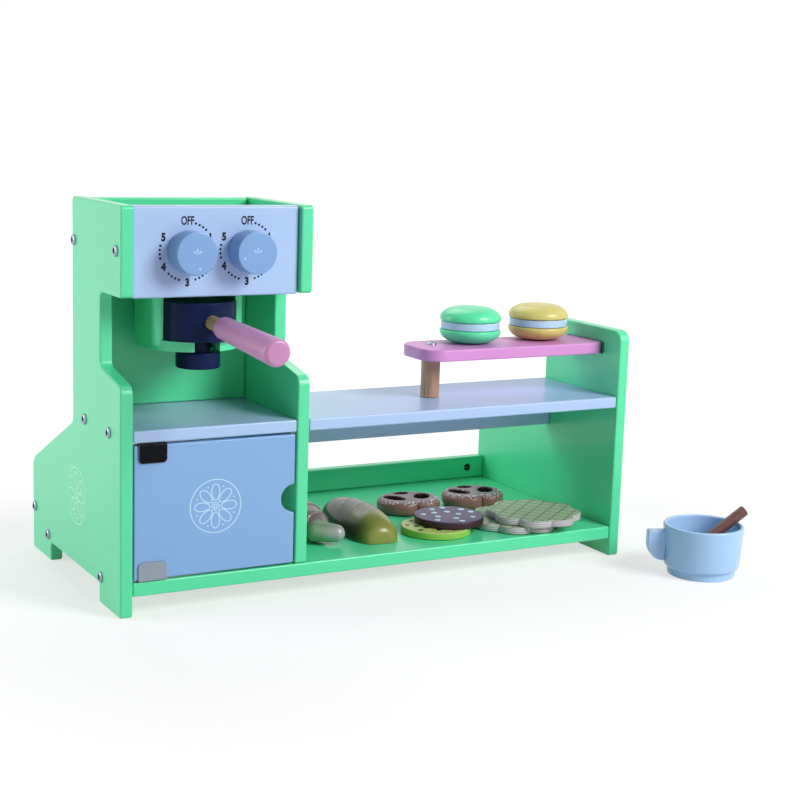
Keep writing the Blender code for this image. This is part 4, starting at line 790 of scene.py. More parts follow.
boltSeed = boltShape(boltSizes, "boltSeed")
bolts = repeated("connectorBolts", boltPlaces(), boltSeed, brightZinc)
bpy.data.objects.remove(boltSeed)
boltNodes = [f"left_bolt_{k}" for k in range(1, 8)] + ["middle_bolt_1", "middle_bolt_2"]
boltNodes += [f"right_bolt_{k}" for k in range(1, 7)]
dressed(bolts, brightZinc, "shop", boltNodes)

postScrewSizes = dict(
    boltSizes, headRadius=4.0, headHeight=1.8, headRound=1.5, recessRadius=2.2,
    shankRadius=1.9, shankLength=24.0, recessDepth=1.2,
)
postScrew = placed(boltShape(postScrewSizes, "postScrew", slot=True), at(264.3, 51, 168), (0, 0, 1), 0.5)
dressed(postScrew, brightZinc, "shop", ["post_screw"])
print("bolts done")

# Rail nut

nut = rod("railNut", 3, 0, 8.4, (0.5, 0.5), 64)
placed(nut, at(387.1, 189.8, 33.5), (0, 1, 0))
nutSlot = newObject("cutter", pulled(boxOutline((-0.002, -0.0005, 0.002, 0.0005)), "z", -0.001, 0.0018))
shaped(nut, placed(nutSlot, at(387.1, 189.8, 33.5), (0, 1, 0)))
dressed(nut, darkSteel, "shop", ["rail_barrel_nut"])

# Knobs on their screws, with a pale mark and a pointer

knobSizes = {
    "radius": 14.25, "height": 17.6, "backY": 3.6, "backRound": 2.2, "frontRound": 0.9,
    "centreZ": 245.5, "screwRadius": 2.2, "screwDepth": 11.0, "headRadius": 5.2, "headBack": -12.7,
    "headFront": -9.8, "screwHole": 2.4, "screwRoom": 0.3,
}
# Leaf: start, length, half width; pointer: outer end, inner end, half width
knobMarkSizes = {"leaf": (0.9, 2.6, 0.75), "leafTurns": (30, 90, 150), "dot": 0.55, "pointer": (11.2, 9.2, 1.1)}
knobCentres = {"left_knob": (47.6, 280), "right_knob": (90.4, 200)}
printThickness = 0.06 * mm


def discMesh(radius, thickness, name, sides=32):
    profile = [(0, 0), (radius, 0), (radius * 0.96, thickness), (0, thickness)]
    return turnedMesh(profile, sides, name)


def flatPrint(outlines, thickness, name):
    # Thin printed shapes from closed outlines in their own plane, in metres
    whole = bmesh.new()
    for outline in outlines:
        data = pulled(outline, "z", 0, thickness)
        whole.from_mesh(data)
        bpy.data.meshes.remove(data)
    return newObject(name, meshFrom(whole, name))


def strokeRing(outline, width, thickness, name):
    # A closed line of the given width that follows an outline
    points = [Vector(point) for point in outline]
    count = len(points)
    rings = [[], [], [], []]
    for index, point in enumerate(points):
        ahead = (points[(index + 1) % count] - points[index - 1]).normalized()
        side = Vector((ahead.y, -ahead.x)) * width / 2
        section = ((point - side, 0), (point + side, 0), (point + side, thickness), (point - side, thickness))
        for ring, (place, height) in zip(rings, section):
            ring.append((place.x, place.y, height))
    data = ringsMesh(rings + [rings[0]], name)
    return newObject(name, data)


def petalOutline(start, length, halfWidth, steps=20):
    points = []
    for step in range(2 * steps):
        angle = pi * step / steps
        along = start + length * (1 - cos(angle)) / 2
        points.append((along, halfWidth * sin(angle) * (0.75 + 0.25 * (1 - cos(angle)) / 2)))
    return points


def joined(name, things):
    whole = bmesh.new()
    for thing in things:
        whole.from_mesh(thing.data)
        bpy.data.objects.remove(thing)
    return newObject(name, meshFrom(whole, name))


def frontTurn(point, facing=(0, -1, 0)):
    # Stands a flat print up: its X to the right and its Y upwards as seen from where it faces
    forward = Vector(facing)
    right = Vector((0, 0, 1)).cross(forward).normalized()
    up = forward.cross(right)
    turn = Matrix((right, up, forward)).transposed().to_4x4()
    return Matrix.Translation(point) @ turn


for name, (x, pointer) in knobCentres.items():
    size = knobSizes
    backPlace = at(x, size["backY"], size["centreZ"])
    rounds = (size["backRound"], size["frontRound"])
    knob = placed(rod(name + "Body", size["radius"], 0, size["height"], rounds, 128, 6), backPlace, (0, -1, 0))
    bored(knob, backPlace, (0, -1, 0), size["screwHole"] * mm, (size["screwDepth"] + size["screwRoom"]) * mm)
    dressed(flatLit(knob), knobPaint, name, [name])
    face = frontTurn(at(x, size["backY"] - size["height"], size["centreZ"]))
    # A small sprig of three leaves and a dot in the middle of the face
    leaves = []
    for spin in knobMarkSizes["leafTurns"]:
        leaf = [(u * mm, v * mm) for u, v in petalOutline(*knobMarkSizes["leaf"])]
        turn = Matrix.Rotation(radians(spin), 2)
        leaves.append([tuple(turn @ Vector(point)) for point in leaf])
    dot = knobMarkSizes["dot"] * mm
    leaves.append([(dot * cos(2 * pi * k / 16), dot * sin(2 * pi * k / 16)) for k in range(16)])
    away = radians(pointer)
    tip = Vector((cos(away), sin(away)))
    side = Vector((-tip.y, tip.x))
    outer, inner, half = knobMarkSizes["pointer"]
    triangle = [tip * outer, tip * inner + side * half, tip * inner - side * half]
    leaves.append([tuple(point * mm) for point in triangle])
    mark = flatPrint(leaves, printThickness, name + "Mark")
    mark.matrix_world = face
    settled(mark)
    dressed(mark, knobPrint, name)
    screwCorners = [
        (0, size["headBack"]), (size["headRadius"], size["headBack"]), (size["headRadius"], size["headFront"]),
        (size["screwRadius"], size["headFront"]), (size["screwRadius"], size["screwDepth"]), (0, size["screwDepth"]),
    ]
    screw = lathe(name + "Screw", screwCorners, [0, 1.2, 0.2, 0, 0.4, 0], 64)
    placed(screw, backPlace, (0, -1, 0))
    dressed(screw, brightZinc, "shop", [name + "_screw"])

# Dials: a ring of dots between the numbers about each knob

dialSizes = {
    "dotRing": 19.4, "dotRadius": 0.85, "dotPitch": 8.3,
    # height, width share and weight of the letters
    "number": (5.7, 0.84, 0.06), "off": (6.0, 0.66, 0.03),
}
# Sign, its angle and the radius that it stands on
dialMarks = [
    ("OFF", 90, 20.5), ("5", 150, 19.5), ("4", 210, 19.3), ("3", 270, 20.3), ("2", 330, 18.6), ("1", 30, 18.6),
]


def dialDots():
    found = []
    for x, _ in knobCentres.values():
        # No dots between 5 and OFF
        for gap in (0, 1, 3, 4, 5):
            for index in range(4):
                angle = radians(60 * gap + (index - 1.5) * dialSizes["dotPitch"])
                u = x + dialSizes["dotRing"] * cos(angle)
                v = knobSizes["centreZ"] + dialSizes["dotRing"] * sin(angle)
                found.append((at(u, 4.1, v), (0, -1, 0), 0.0))
    return found


dotSeed = newObject("dotSeed", discMesh(dialSizes["dotRadius"] * mm, printThickness, "dot", 20))
dots = repeated("dialDots", dialDots(), dotSeed, markInk)
bpy.data.objects.remove(dotSeed)
dressed(dots, markInk, "shop")


def letters(name, text, height, squeeze, weight):
    # Generic dial lettering as a thin mesh, centred on its own origin
    curve = bpy.data.curves.new(name, "FONT")
    curve.body = text
    curve.offset = weight
    curve.extrude = printThickness / 2
    thing = newObject(name, curve)
    bpy.context.view_layer.update()
    data = bpy.data.meshes.new_from_object(thing.evaluated_get(bpy.context.evaluated_depsgraph_get()))
    bpy.data.objects.remove(thing)
    xs = [vertex.co.x for vertex in data.vertices]
    ys = [vertex.co.y for vertex in data.vertices]
    scale = height / (max(ys) - min(ys))
    middle = Vector(((max(xs) + min(xs)) / 2, (max(ys) + min(ys)) / 2, 0))
    shape = Matrix.Diagonal((scale * squeeze, scale, 1, 1)) @ Matrix.Translation(-middle)
    data.transform(shape)
    return newObject(name, data)


numbers = []
for x, pointer in knobCentres.values():
    for text, angle, ring in dialMarks:
        tall, squeeze, weight = dialSizes["off" if text == "OFF" else "number"]
        sign = letters("number", text, tall * mm, squeeze, weight)
        u = x + ring * cos(radians(angle))
        v = knobSizes["centreZ"] + ring * sin(radians(angle))
        sign.data.transform(frontTurn(at(u, 4.1 - 0.03, v)))
        numbers.append(sign)
dialNumbers = joined("dialNumbers", numbers)
settled(dialNumbers)
dressed(dialNumbers, markInk, "shop")
print("dials done")

# Bracket and filter holder

holderSizes = {
    "left": 35.5, "right": 102.5, "front": 19.0, "back": 71.5, "frontRound": 32.0,
    "low": 175.5, "board": 7.0, "cheekFront": 34.3, "cheekCorner": 5.5,
    "slotHalf": 9.25, "slotEnd": 46.25, "edgeRound": 1.3, "ceiling": (9.3, 13.4, 128.7, 90.9), "ceilingLow": 216.0,
}


def holderBracket():
    # Plate, cheeks and the ceiling they hang from, painted as one, with the slot for the filter's neck
    size = holderSizes
    left, right, back = size["left"], size["right"], size["back"]
    corners = [(left, back), (left, size["front"]), (right, size["front"]), (right, back)]
    outline = turnedCorners(corners, [0, size["frontRound"], size["frontRound"], 0], stepAngle=5)
    thing = newObject("filterBracket", pulled(scaledOutline(outline, "z"), "z", size["low"] * mm, size["board"] * mm))
    start, end = size["low"] + size["board"] / 2, size["ceilingLow"] + 4
    for edge, inward in ((left, 1), (right, -1)):
        inner = edge + inward * size["board"]
        corners = [(edge, back), (edge, size["cheekFront"]), (inner, size["cheekFront"]), (inner, back)]
        outline = turnedCorners(corners, [0, size["cheekCorner"], 0, 0])
        cheek = pulled(scaledOutline(outline, "z"), "z", start * mm, (end - start) * mm)
        shaped(thing, newObject("cheek", cheek), "UNION")
    roof = pulled(scaledOutline(boxOutline(size["ceiling"]), "z"), "z", size["ceilingLow"] * mm, 9 * mm)
    shaped(thing, newObject("roof", roof), "UNION")
    half, end = size["slotHalf"], size["slotEnd"] - size["slotHalf"]
    middle = (left + right) / 2
    outline = [(middle + half, 10), (middle + half, end)]
    outline += [(middle + half * cos(pi * k / 24), end + half * sin(pi * k / 24)) for k in range(1, 24)]
    outline += [(middle - half, end), (middle - half, 10)]
    slot = newObject("slot", pulled(scaledOutline(outline, "z"), "z", (size["low"] - 5) * mm, 20 * mm))
    shaped(thing, slot)
    return settled(rounded(thing, size["edgeRound"] * mm))


dressed(flatLit(holderBracket()), mintAlong["z"], "shop", ["holder_plate", "holder_hanger"])

filterSizes = {
    "x": 69.0, "y": 37.0, "low": 182.8, "radius": 26.0, "height": 27.2, "edgeRound": 1.2,
    "spoutRadius": 15.4, "spoutLow": 162.6, "spoutHigh": 173.8, "neckRadius": 8.7,
    "rootHeight": 13.7, "droop": radians(3), "dowelRadius": 5.0,
    "gripStart": 19.0, "gripEnd": 106.0, "rootRadius": 7.8, "endRadius": 9.2,
}
size = filterSizes
outward = Vector((0, -cos(size["droop"]), -sin(size["droop"])))
root = at(size["x"], size["y"] - size["radius"], size["low"] + size["rootHeight"])
filterBody = rod("filterBody", size["radius"], 0, size["height"], [size["edgeRound"]] * 2, 128)
placed(filterBody, at(size["x"], size["y"], size["low"]))
bored(filterBody, root - outward * 13.3 * mm, outward, (size["dowelRadius"] + 0.3) * mm, 30 * mm)
dressed(flatLit(filterBody), navyPaint, "portafilter", ["portafilter_body"])
corners = [
    (0, size["spoutLow"]), (size["spoutRadius"], size["spoutLow"]), (size["spoutRadius"], size["spoutHigh"]),
    (size["neckRadius"], size["spoutHigh"]), (size["neckRadius"], size["low"] - 0.3), (0, size["low"] - 0.3),
]
spout = placed(lathe("filterSpout", corners, [0, 1.0, 1.0, 0.4, 0, 0], 96), at(size["x"], size["y"], 0))
dressed(flatLit(spout), navyPaint, "portafilter", ["portafilter_spout"])
dowel = placed(rod("handleDowel", size["dowelRadius"], -13, 35, (0.5, 0.5), 64), root, outward)
dressed(dowel, dowelBeech, "portafilter", ["handle_dowel"])
corners = [
    (0, size["gripStart"]), (size["rootRadius"], size["gripStart"]),
    (size["endRadius"], size["gripEnd"]), (0, size["gripEnd"]),
]
grip = placed(lathe("handleGrip", corners, [0, 1.5, 3.0, 0], 96), root, outward)
bored(grip, root + outward * size["gripStart"] * mm, outward, (size["dowelRadius"] + 0.3) * mm, 16.3 * mm)
dressed(flatLit(grip), gripPaint, "portafilter", ["portafilter_handle"])
print("filter holder done")

# Small shelf, its post, and the macaroons

shelfOutline = turnedCorners([(245.3, 21), (406.9, 21), (406.9, 71.5), (245.3, 71.5)], [16, 12, 12, 16], stepAngle=5)
displayShelf = newObject("displayShelf", pulled(scaledOutline(shelfOutline, "z"), "z", 159 * mm, 9 * mm))
settled(rounded(displayShelf, 1.3 * mm))
bored(displayShelf, at(264.3, 51, 168), (0, 0, -1), 2.3 * mm, 11 * mm)
bored(displayShelf, at(406.9, 46.25, 163.5), (-1, 0, 0), 2.5 * mm, 20 * mm)
dressed(flatLit(displayShelf), pinkPaint, "shop", ["display_shelf"])
post = placed(rod("shelfPost", 7.2, 0, 30.6, (0.4, 0.4)), at(264.3, 51, 128.1))
bored(post, at(264.3, 51, 158.7), (0, 0, -1), 2.2 * mm, 15.3 * mm)
dressed(flatLit(post), bareBeech, "shop", ["shelf_post"])

macaroonSizes = {
    "radius": 23.6, "flatRadius": 9.0, "bulge": 8.8, "shell": 10.5, "edgeRound": 1.4,
    "fillingRadius": 22.6, "filling": 5.8, "low": 168.3, "fillingLow": 179.1, "high": 195.7,
}


def macaroonShell(name):
    size = macaroonSizes
    profile = [(0, 0)]
    for step in range(19):
        angle = pi / 2 * step / 18
        profile.append((
            size["flatRadius"] + (size["radius"] - size["flatRadius"]) * sin(angle),
            size["bulge"] * (1 - cos(angle)),
        ))
    edge = turnedCorners(
        [(size["radius"], size["bulge"]), (size["radius"], size["shell"]), (size["radius"] - 2, size["shell"])],
        [0, size["edgeRound"], 0], False,
    )
    profile += edge[1:] + [(0, size["shell"])]
    return newObject(name, turnedMesh([(r * mm, h * mm) for r, h in profile], 128, name))


for flavour, x, y, paint, slot in (
    ("green", 299, 52.2, greenShellPaint, "green_shell"), ("yellow", 363.2, 54.5, yellowPaint, "yellow_paint"),
):
    body = flavour + "_macaroon"
    size = macaroonSizes
    lower = placed(macaroonShell(flavour + "ShellLower"), at(x, y, size["low"]))
    dressed(lower, paint, body, [body + "_bottom"])
    filling = rod(flavour + "Filling", size["fillingRadius"], 0, size["filling"], (0.8, 0.8), 128)
    placed(filling, at(x, y, size["fillingLow"]))
    dressed(filling, fillingPaint, body, [body + "_filling"])
    upper = placed(macaroonShell(flavour + "ShellUpper"), at(x, y, size["high"]), (0, 0, -1))
    dressed(upper, paint, body, [body + "_top"])
print("shelf and macaroons done")

# Bakery on the base board


def pieceLook(name, face, side, roughness=0.45, gloss=0.1):
    # A painted bake: a top colour with painted sheen, a darker side colour with painted shade, mottling and a soft
    # sheen
    look = Look(name, roughness=roughness, coat=gloss, specular=0.3)
    # Top faces take the face colour with painted sheen, sides the darker side colour with painted shade
    upward = look.upward().above(0.55, 0.3)
    cloud = look.noise(70.0, 4.0, 0.6)
    fine = look.noise(1100.0, 2.0)
    share = ((cloud - 0.5) * 0.9 + (fine - 0.5) * 0.3 + 0.5).within()
    top = look.mixed(share, toned(face, 0.82), toned(face, 1.12))
    edge = look.mixed(share, toned(side, 0.80), toned(side, 1.15))
    look.colour(look.mixed(upward, edge, top))
    look.rough((cloud - 0.5) * 0.18 + roughness)
    look.bump(fine * 0.6 + cloud * 0.4, 0.00006, 0.6)
    return look.material


yellowBake = pieceLook("yellowBake", (0.520, 0.620, 0.180), (0.280, 0.560, 0.080))
chocolateBake = pieceLook("chocolateBake", (0.060, 0.036, 0.120), (0.035, 0.009, 0.012), 0.38, gloss=0.05)
sprinkleBlue = printLook("sprinkleBlue", (0.640, 0.820, 1.0))
chipBrown = printLook("chipBrown", (0.012, 0.010, 0.030))
for name, x, y, z, paint, slot, node in (
    ("lowerCookie", 266.8, 39.2, 24.3, yellowBake, "cookie_yellow_paint", "lower_cookie"),
    ("upperCookie", 280.8, 43.1, 30.1, chocolateBake, "chocolate_paint", "upper_cookie"),
):
    cookie = placed(rod(name, 26.9, 0, 5.5, (0.9, 1.1), 128), at(x, y, z))
    dressed(flatLit(cookie), paint, node, [node])

sprinkleShares = [
    (-0.18, 0.76), (0.24, 0.82), (-0.34, 0.35), (-0.76, 0.31), (0.11, 0.31), (-0.47, -0.12), (-0.70, -0.49),
    (0.69, 0.40), (0.82, 0.03), (0.30, -0.08), (0.54, -0.56), (-0.04, -0.51), (-0.04, -0.87),
]
chipShares = [
    (-0.49, 0.68), (-0.67, 0.04), (-0.50, -0.24), (-0.86, 0.28), (-0.24, -0.62), (-0.78, -0.42), (0.2, -0.8),
]
chipSeed = rod("chipSeed", 1.95, 0, 0.14, (0, 0.12), 24)
for name, shares, x, y, top, paint, body, slot in (
    ("cookieSprinkles", sprinkleShares, 280.8, 43.1, 35.6, sprinkleBlue, "upper_cookie", "chocolate_paint"),
    ("cookieChips", chipShares, 266.8, 39.2, 29.8, chipBrown, "lower_cookie", "cookie_yellow_paint"),
):
    places = [(at(x + u * 24.5, y + v * 24.5, top), (0, 0, 1), 0.0) for u, v in shares]
    grown = 1.15 if name == "cookieSprinkles" else 0.95
    sizesHere = [grown + 0.2 * ((index * 37) % 10) / 10 for index in range(len(shares))]
    chips = repeated(name, places, chipSeed, paint, sizesHere)
    dressed(chips, paint, body)
bpy.data.objects.remove(chipSeed)
print("cookies done")


# Waffles: one tree sweeps a soft-edged section about the lobes

waffleSizes = {
    "Lobes": 8.0, "Lobe Radius": 14.5 * mm, "Middle": 22.7 * mm, "Thickness": 5.5 * mm,
    "Turn": radians(14.25), "Round": 0.9 * mm,
}
waffleGrid = {"angle": 39.5, "pitch": 10.0, "shifts": (1.5, 0.6), "lineWidth": 1.1, "ply": 1.35}


def waffleLook(name, centre):
    # Thin plies on the edge, a toasted face tinted green-grey with painted reflection of the green shop, and a
    # burnt-in grid of lines
    look = Look(name, roughness=0.55)
    grid = look.axes(look.shifted(centre, (0, 0, -radians(waffleGrid["angle"]))))
    pitch = waffleGrid["pitch"] * mm
    half = waffleGrid["lineWidth"] * mm / 2

    def line(position, shift):
        share = (position - shift * mm) / pitch + 0.5
        return ((share.maths("FRACT") - 0.5).size() * pitch).below(half, 0.3 * mm)

    across, along = waffleGrid["shifts"]
    lines = line(grid[0], across).maths("MAXIMUM", line(grid[1], along))
    facing = look.upward().size().above(0.75, 0.15)
    grain = look.noise(1.0, 4.0, 0.6, look.shifted(centre, (0, 0, 0.3), (40, 620, 620)))
    cloud = look.noise(55.0, 3.0)
    share = ((grain - 0.5) * 0.8 + (cloud - 0.5) * 0.6 + 0.5).within()
    # The face colour is green-grey: painted reflection of the green shop over the toasted wood
    face = look.mixed(share, (0.290, 0.390, 0.230), (0.420, 0.530, 0.350))
    burnt = look.mixed(lines * 0.75, face, (0.150, 0.120, 0.090))
    plies = ((grid[2] / (waffleGrid["ply"] * mm)).maths("FRACT") - 0.5).size().above(0.15, 0.08)
    edge = look.mixed(plies, (0.160, 0.105, 0.105), (0.600, 0.600, 0.620))
    look.colour(look.mixed(facing, edge, burnt))
    look.rough((grain - 0.5) * 0.2 + 0.5 + lines * 0.15)
    look.bump(grain * facing * 0.06 - lines * facing, 0.0005, 0.8)
    return look.material


def waffle(name, place, material):
    sides, rows = 288, 36
    recipe = Recipe(name + "Recipe", waffleSizes)
    maths = recipe.maths
    grid = recipe.node("GeometryNodeMeshGrid", Vertices_X=sides + 1, Vertices_Y=rows, Size_X=1.0, Size_Y=1.0)
    here = recipe.node("GeometryNodeInputPosition")
    split = recipe.node("ShaderNodeSeparateXYZ", Vector=here.outputs[0])
    around = maths("MULTIPLY", maths("ADD", split.outputs[0], 0.5), 2 * pi)
    across = maths("ADD", split.outputs[1], 0.5)
    # How far the edge stands from the centre, for the angle within one lobe
    half = maths("DIVIDE", pi, "Lobes")
    inLobe = maths("WRAP", around, half, maths("MULTIPLY", half, -1.0))
    rise = maths("MULTIPLY", "Middle", maths("SINE", inLobe))
    left = maths("SUBTRACT", maths("MULTIPLY", "Lobe Radius", "Lobe Radius"), maths("MULTIPLY", rise, rise))
    rim = maths("ADD", maths("MULTIPLY", "Middle", maths("COSINE", inLobe)), maths("SQRT", left))
    # The section runs over the face, round the edge and back under it
    over = maths("MINIMUM", maths("DIVIDE", across, 0.4), 1.0)
    under = maths("MAXIMUM", maths("DIVIDE", maths("SUBTRACT", across, 0.6), 0.4), 0.0)
    bend = maths("MINIMUM", maths("MAXIMUM", maths("DIVIDE", maths("SUBTRACT", across, 0.4), 0.2), 0.0), 1.0)
    flat = maths("MULTIPLY", maths("MULTIPLY", maths("SUBTRACT", rim, "Round"), over), maths("SUBTRACT", 1.0, under))
    swing = maths("MULTIPLY", bend, pi)
    radius = maths("ADD", flat, maths("MULTIPLY", "Round", maths("SINE", swing)))
    straight = maths("SUBTRACT", "Thickness", maths("MULTIPLY", "Round", 2.0))
    drop = maths("MULTIPLY", maths("GREATER_THAN", bend, 0.5), straight)
    level = maths("SUBTRACT", maths("SUBTRACT", "Thickness", "Round"), drop)
    height = maths("ADD", level, maths("MULTIPLY", "Round", maths("COSINE", swing)))
    angle = maths("ADD", around, "Turn")
    point = recipe.node(
        "ShaderNodeCombineXYZ", X=maths("MULTIPLY", radius, maths("COSINE", angle)),
        Y=maths("MULTIPLY", radius, maths("SINE", angle)), Z=height,
    )
    moved = recipe.node("GeometryNodeSetPosition", Geometry=grid.outputs["Mesh"], Position=point.outputs[0])
    closed = recipe.node("GeometryNodeMergeByDistance", Geometry=moved.outputs[0], Distance=0.00001)
    recipe.finishWith(closed.outputs[0], material)
    start = bpy.data.meshes.new(name)
    start.from_pydata([(0, 0, 0)], [], [])
    made = recipe.cook(newObject(name, start))
    outwards = bmesh.new()
    outwards.from_mesh(made.data)
    bmesh.ops.recalc_face_normals(outwards, faces=outwards.faces)
    outwards.to_mesh(made.data)
    outwards.free()
    made.matrix_world = Matrix.Translation(place)
    return settled(made, 50)


for name, x, y, z, node in (
    ("lowerWaffle", 337.8, 38.2, 24.3, "lower_waffle"), ("upperWaffle", 350.2, 29.5, 30.1, "upper_waffle"),
):
    place = at(x, y, z)
    finish = waffleLook(name + "Finish", tuple(place))
    dressed(waffle(name, place, finish), finish, node, [node])
print("waffles done")

# Pretzels

pretzelSizes = {
    "halfWidth": 26.2, "halfDepth": 22.2, "thickness": 11.2, "round": 4.2, "holeRound": 1.1,
    "dipShare": 0.2, "dipSpread": radians(24), "turn": radians(-4),
    "holes": [(-0.46, 0.03, 0.36, 0.235, -54), (0.46, 0.03, 0.36, 0.235, 54), (0.0, 0.56, 0.24, 0.15, 0)],
}


def softLevels(height, rounding, outward, steps=8):
    rising = []
    for step in range(steps + 1):
        angle = pi / 2 * step / steps
        rising.append((rounding * (1 - cos(angle)), outward * rounding * (1 - sin(angle))))
    return rising + [(height - level, inset) for level, inset in reversed(rising)]


def stackedRings(outline, middle, levels, name):
    rings = []
    for height, inset in levels:
        ring = []
        for point in outline:
            arm = Vector(point) - Vector(middle)
            spot = Vector(middle) + arm * (1 - inset / arm.length)
            ring.append((spot.x * mm, spot.y * mm, height * mm))
        rings.append(ring)
    return newObject(name, ringsMesh(rings, name, caps=True))


def pretzelLook(name, centre):
    # Baked brown with a lavender-grey painted sheen on the top, painted shade in the holes, a crease at the dip
    # darkened with painted shade, and salt dust
    look = Look(name, roughness=0.42, coat=0.08, specular=0.35)
    x, y = look.axes(look.shifted(centre, (0, 0, -pretzelSizes["turn"])))[:2]
    upward = look.upward()
    cloud = look.noise(65.0, 4.0, 0.6)
    fine = look.noise(1000.0, 2.0)
    share = ((cloud - 0.5) * 1.1 + (fine - 0.5) * 0.3 + 0.5).within()
    baked = look.mixed(share, (0.190, 0.085, 0.070), (0.310, 0.160, 0.130))
    # Top faces are lavender-grey: painted sheen of the bright room
    top = look.mixed(share, (0.140, 0.090, 0.108), (0.235, 0.170, 0.210))
    colour = look.mixed(upward.above(0.80, 0.16), baked, top)
    inside = None
    for u, v, long, wide, slant in pretzelSizes["holes"]:
        half = pretzelSizes["halfWidth"] * mm
        c, s = cos(radians(slant)), sin(radians(slant))
        du, dv = x - u * half, y - v * half
        along = (du * c + dv * s) / (long * half)
        across = (dv * c - du * s) / (wide * half)
        away = (along * along + across * across).maths("SQRT")
        hollow = away.below(1.12, 0.14)
        inside = hollow if inside is None else inside.maths("MAXIMUM", hollow)
    # Painted shade: the walls of the holes go nearly black
    holeShade = inside * upward.below(0.90, 0.12)
    colour = look.mixed(holeShade, colour, (0.014, 0.004, 0.004))
    # Painted shade along the crease at the dip, which the bump also presses in
    crease = x.size().below(0.35 * mm, 0.35 * mm) * y.below(-0.3 * pretzelSizes["halfDepth"] * mm, 2.0 * mm)
    colour = look.mixed(crease * 0.8, colour, (0.070, 0.022, 0.018))
    dust = look.noise(520.0, 1.0).above(0.70, 0.02) * upward.above(0.45, 0.2)
    dust = dust * look.noise(120.0, 1.0).above(0.45, 0.1)
    look.colour(look.mixed(dust * 0.8, colour, (0.820, 0.800, 0.860)))
    look.rough((cloud - 0.5) * 0.2 + 0.42)
    look.bump(fine * 0.3 + cloud * 0.5 - crease * 1.5 + dust * 0.6, 0.00025, 0.7)
    return look.material


saltLook = printLook("saltWhite", (0.920, 0.910, 0.960))


def pretzelRim(angle):
    # The rim dips in at the front
    size = pretzelSizes
    offFront = abs((angle - 3 * pi / 2 + pi) % (2 * pi) - pi)
    dip = 1 - size["dipShare"] * (1 - min(1, offFront / size["dipSpread"])) ** 1.5
    return (size["halfWidth"] * cos(angle) * dip, size["halfDepth"] * sin(angle) * dip)


def pretzel(name, place, finish):
    size = pretzelSizes
    levels = softLevels(size["thickness"], size["round"], 1)
    thing = stackedRings([pretzelRim(2 * pi * step / 192) for step in range(192)], (0, 0), levels, name)
    holeLevels = softLevels(size["thickness"], size["holeRound"], -1, 6)
    holeLevels = [(-1, holeLevels[0][1])] + holeLevels + [(size["thickness"] + 1, holeLevels[-1][1])]
    for u, v, long, wide, slant in size["holes"]:
        middle = (size["halfWidth"] * u, size["halfWidth"] * v)
        turn = Matrix.Rotation(radians(slant), 2)
        outline = []
        for k in range(64):
            arm = Vector((long * cos(2 * pi * k / 64), wide * sin(2 * pi * k / 64))) * size["halfWidth"]
            outline.append(tuple(Vector(middle) + turn @ arm))
        shaped(thing, stackedRings(outline, middle, holeLevels, "hole"))
    thing.matrix_world = Matrix.Translation(place) @ Matrix.Rotation(size["turn"], 4, "Z")
    settled(thing)
    thing.data.materials.append(finish)
    return thing


def saltPlaces(place, seed):
    # Grains lie along the rounded front rim and scattered over the top
    pick = random.Random(seed)
    found = []
    size = pretzelSizes
    turn = Matrix.Rotation(size["turn"], 4, "Z")
    for index in range(84):
        angle = radians(pick.uniform(185, 355) if index < 50 else pick.uniform(0, 360))
        lean = radians(pick.uniform(28, 90) if index < 50 else pick.uniform(70, 90))
        arm = Vector(pretzelRim(angle))
        inset = size["round"] * (1 - cos(lean))
        spot = arm * (1 - inset / arm.length)
        height = size["thickness"] - size["round"] + size["round"] * sin(lean)
        facing = turn @ Vector((arm.x / arm.length * cos(lean), arm.y / arm.length * cos(lean), sin(lean)))
        grain = Matrix.Translation(place) @ turn @ Vector((spot.x * mm, spot.y * mm, height * mm))
        found.append((grain, tuple(facing), pick.uniform(0, 3)))
    return found


grainOutline = [(-0.00045, -0.0003), (0.0004, -0.00034), (0.0005, 0.00026), (-0.00038, 0.00034)]
saltSeed = newObject("saltSeed", pulled(grainOutline, "z", -0.0001, 0.00035))
for name, x, y, seed in (("left_pretzel", 279.6, 104.5, 3), ("right_pretzel", 340.2, 104.5, 5)):
    place = at(x, y, 24.3)
    finish = pretzelLook(name + "Finish", tuple(place))
    dressed(pretzel(name + "Body", place, finish), finish, name, [name])
    grains = repeated(name + "Salt", saltPlaces(place, seedStart + seed), saltSeed, saltLook)
    dressed(grains, saltLook, name)
bpy.data.objects.remove(saltSeed)
print("pretzels done")

# Loaf with three overlapping slashes

loafSizes = {
    "x": 215.8, "y": 69.5, "halfLength": 46.5, "halfWidth": 20.5, "height": 20.8, "turn": radians(-4),
    "slashPitch": 19.0, "slashLean": 0.55, "slashStart": -21.0, "slashCount": 3, "slashDepth": 0.8,
}


def slashShare(x, y):
    # Where a point lies between one slash and the next: 0 just behind a lip, 1 at the next lip
    size = loafSizes
    bow = y - size["slashLean"] * x + 0.012 * x * x
    return (bow - size["slashStart"]) / size["slashPitch"]


def loafMesh():
    size = loafSizes
    rings = [[(0, -size["halfLength"] * mm, 0)]]
    sections, arch = 180, 56
    for section in range(1, sections):
        angle = pi * section / sections
        along = -size["halfLength"] * cos(angle)
        full = sin(angle) ** 0.5
        ring = []
        for point in range(arch + 1):
            around = pi * point / arch
            x = size["halfWidth"] * full * cos(around)
            z = size["height"] * full * sin(around) ** 0.9
            share = slashShare(x, along)
            if 0 <= share < size["slashCount"]:
                near = share - int(share)
                side = max(0.0, 1 - (abs(cos(around)) / 0.86) ** 4)
                lip = (1 - near) ** 3 * min(1.0, near / 0.035)
                z -= size["slashDepth"] * side * full * (0.55 - 0.55 * near) * (1 - lip)
            ring.append((x * mm, along * mm, max(z, 0) * mm))
        rings.append(ring)
    rings.append([(0, size["halfLength"] * mm, 0)])
    return ringsMesh(rings, "loaf")


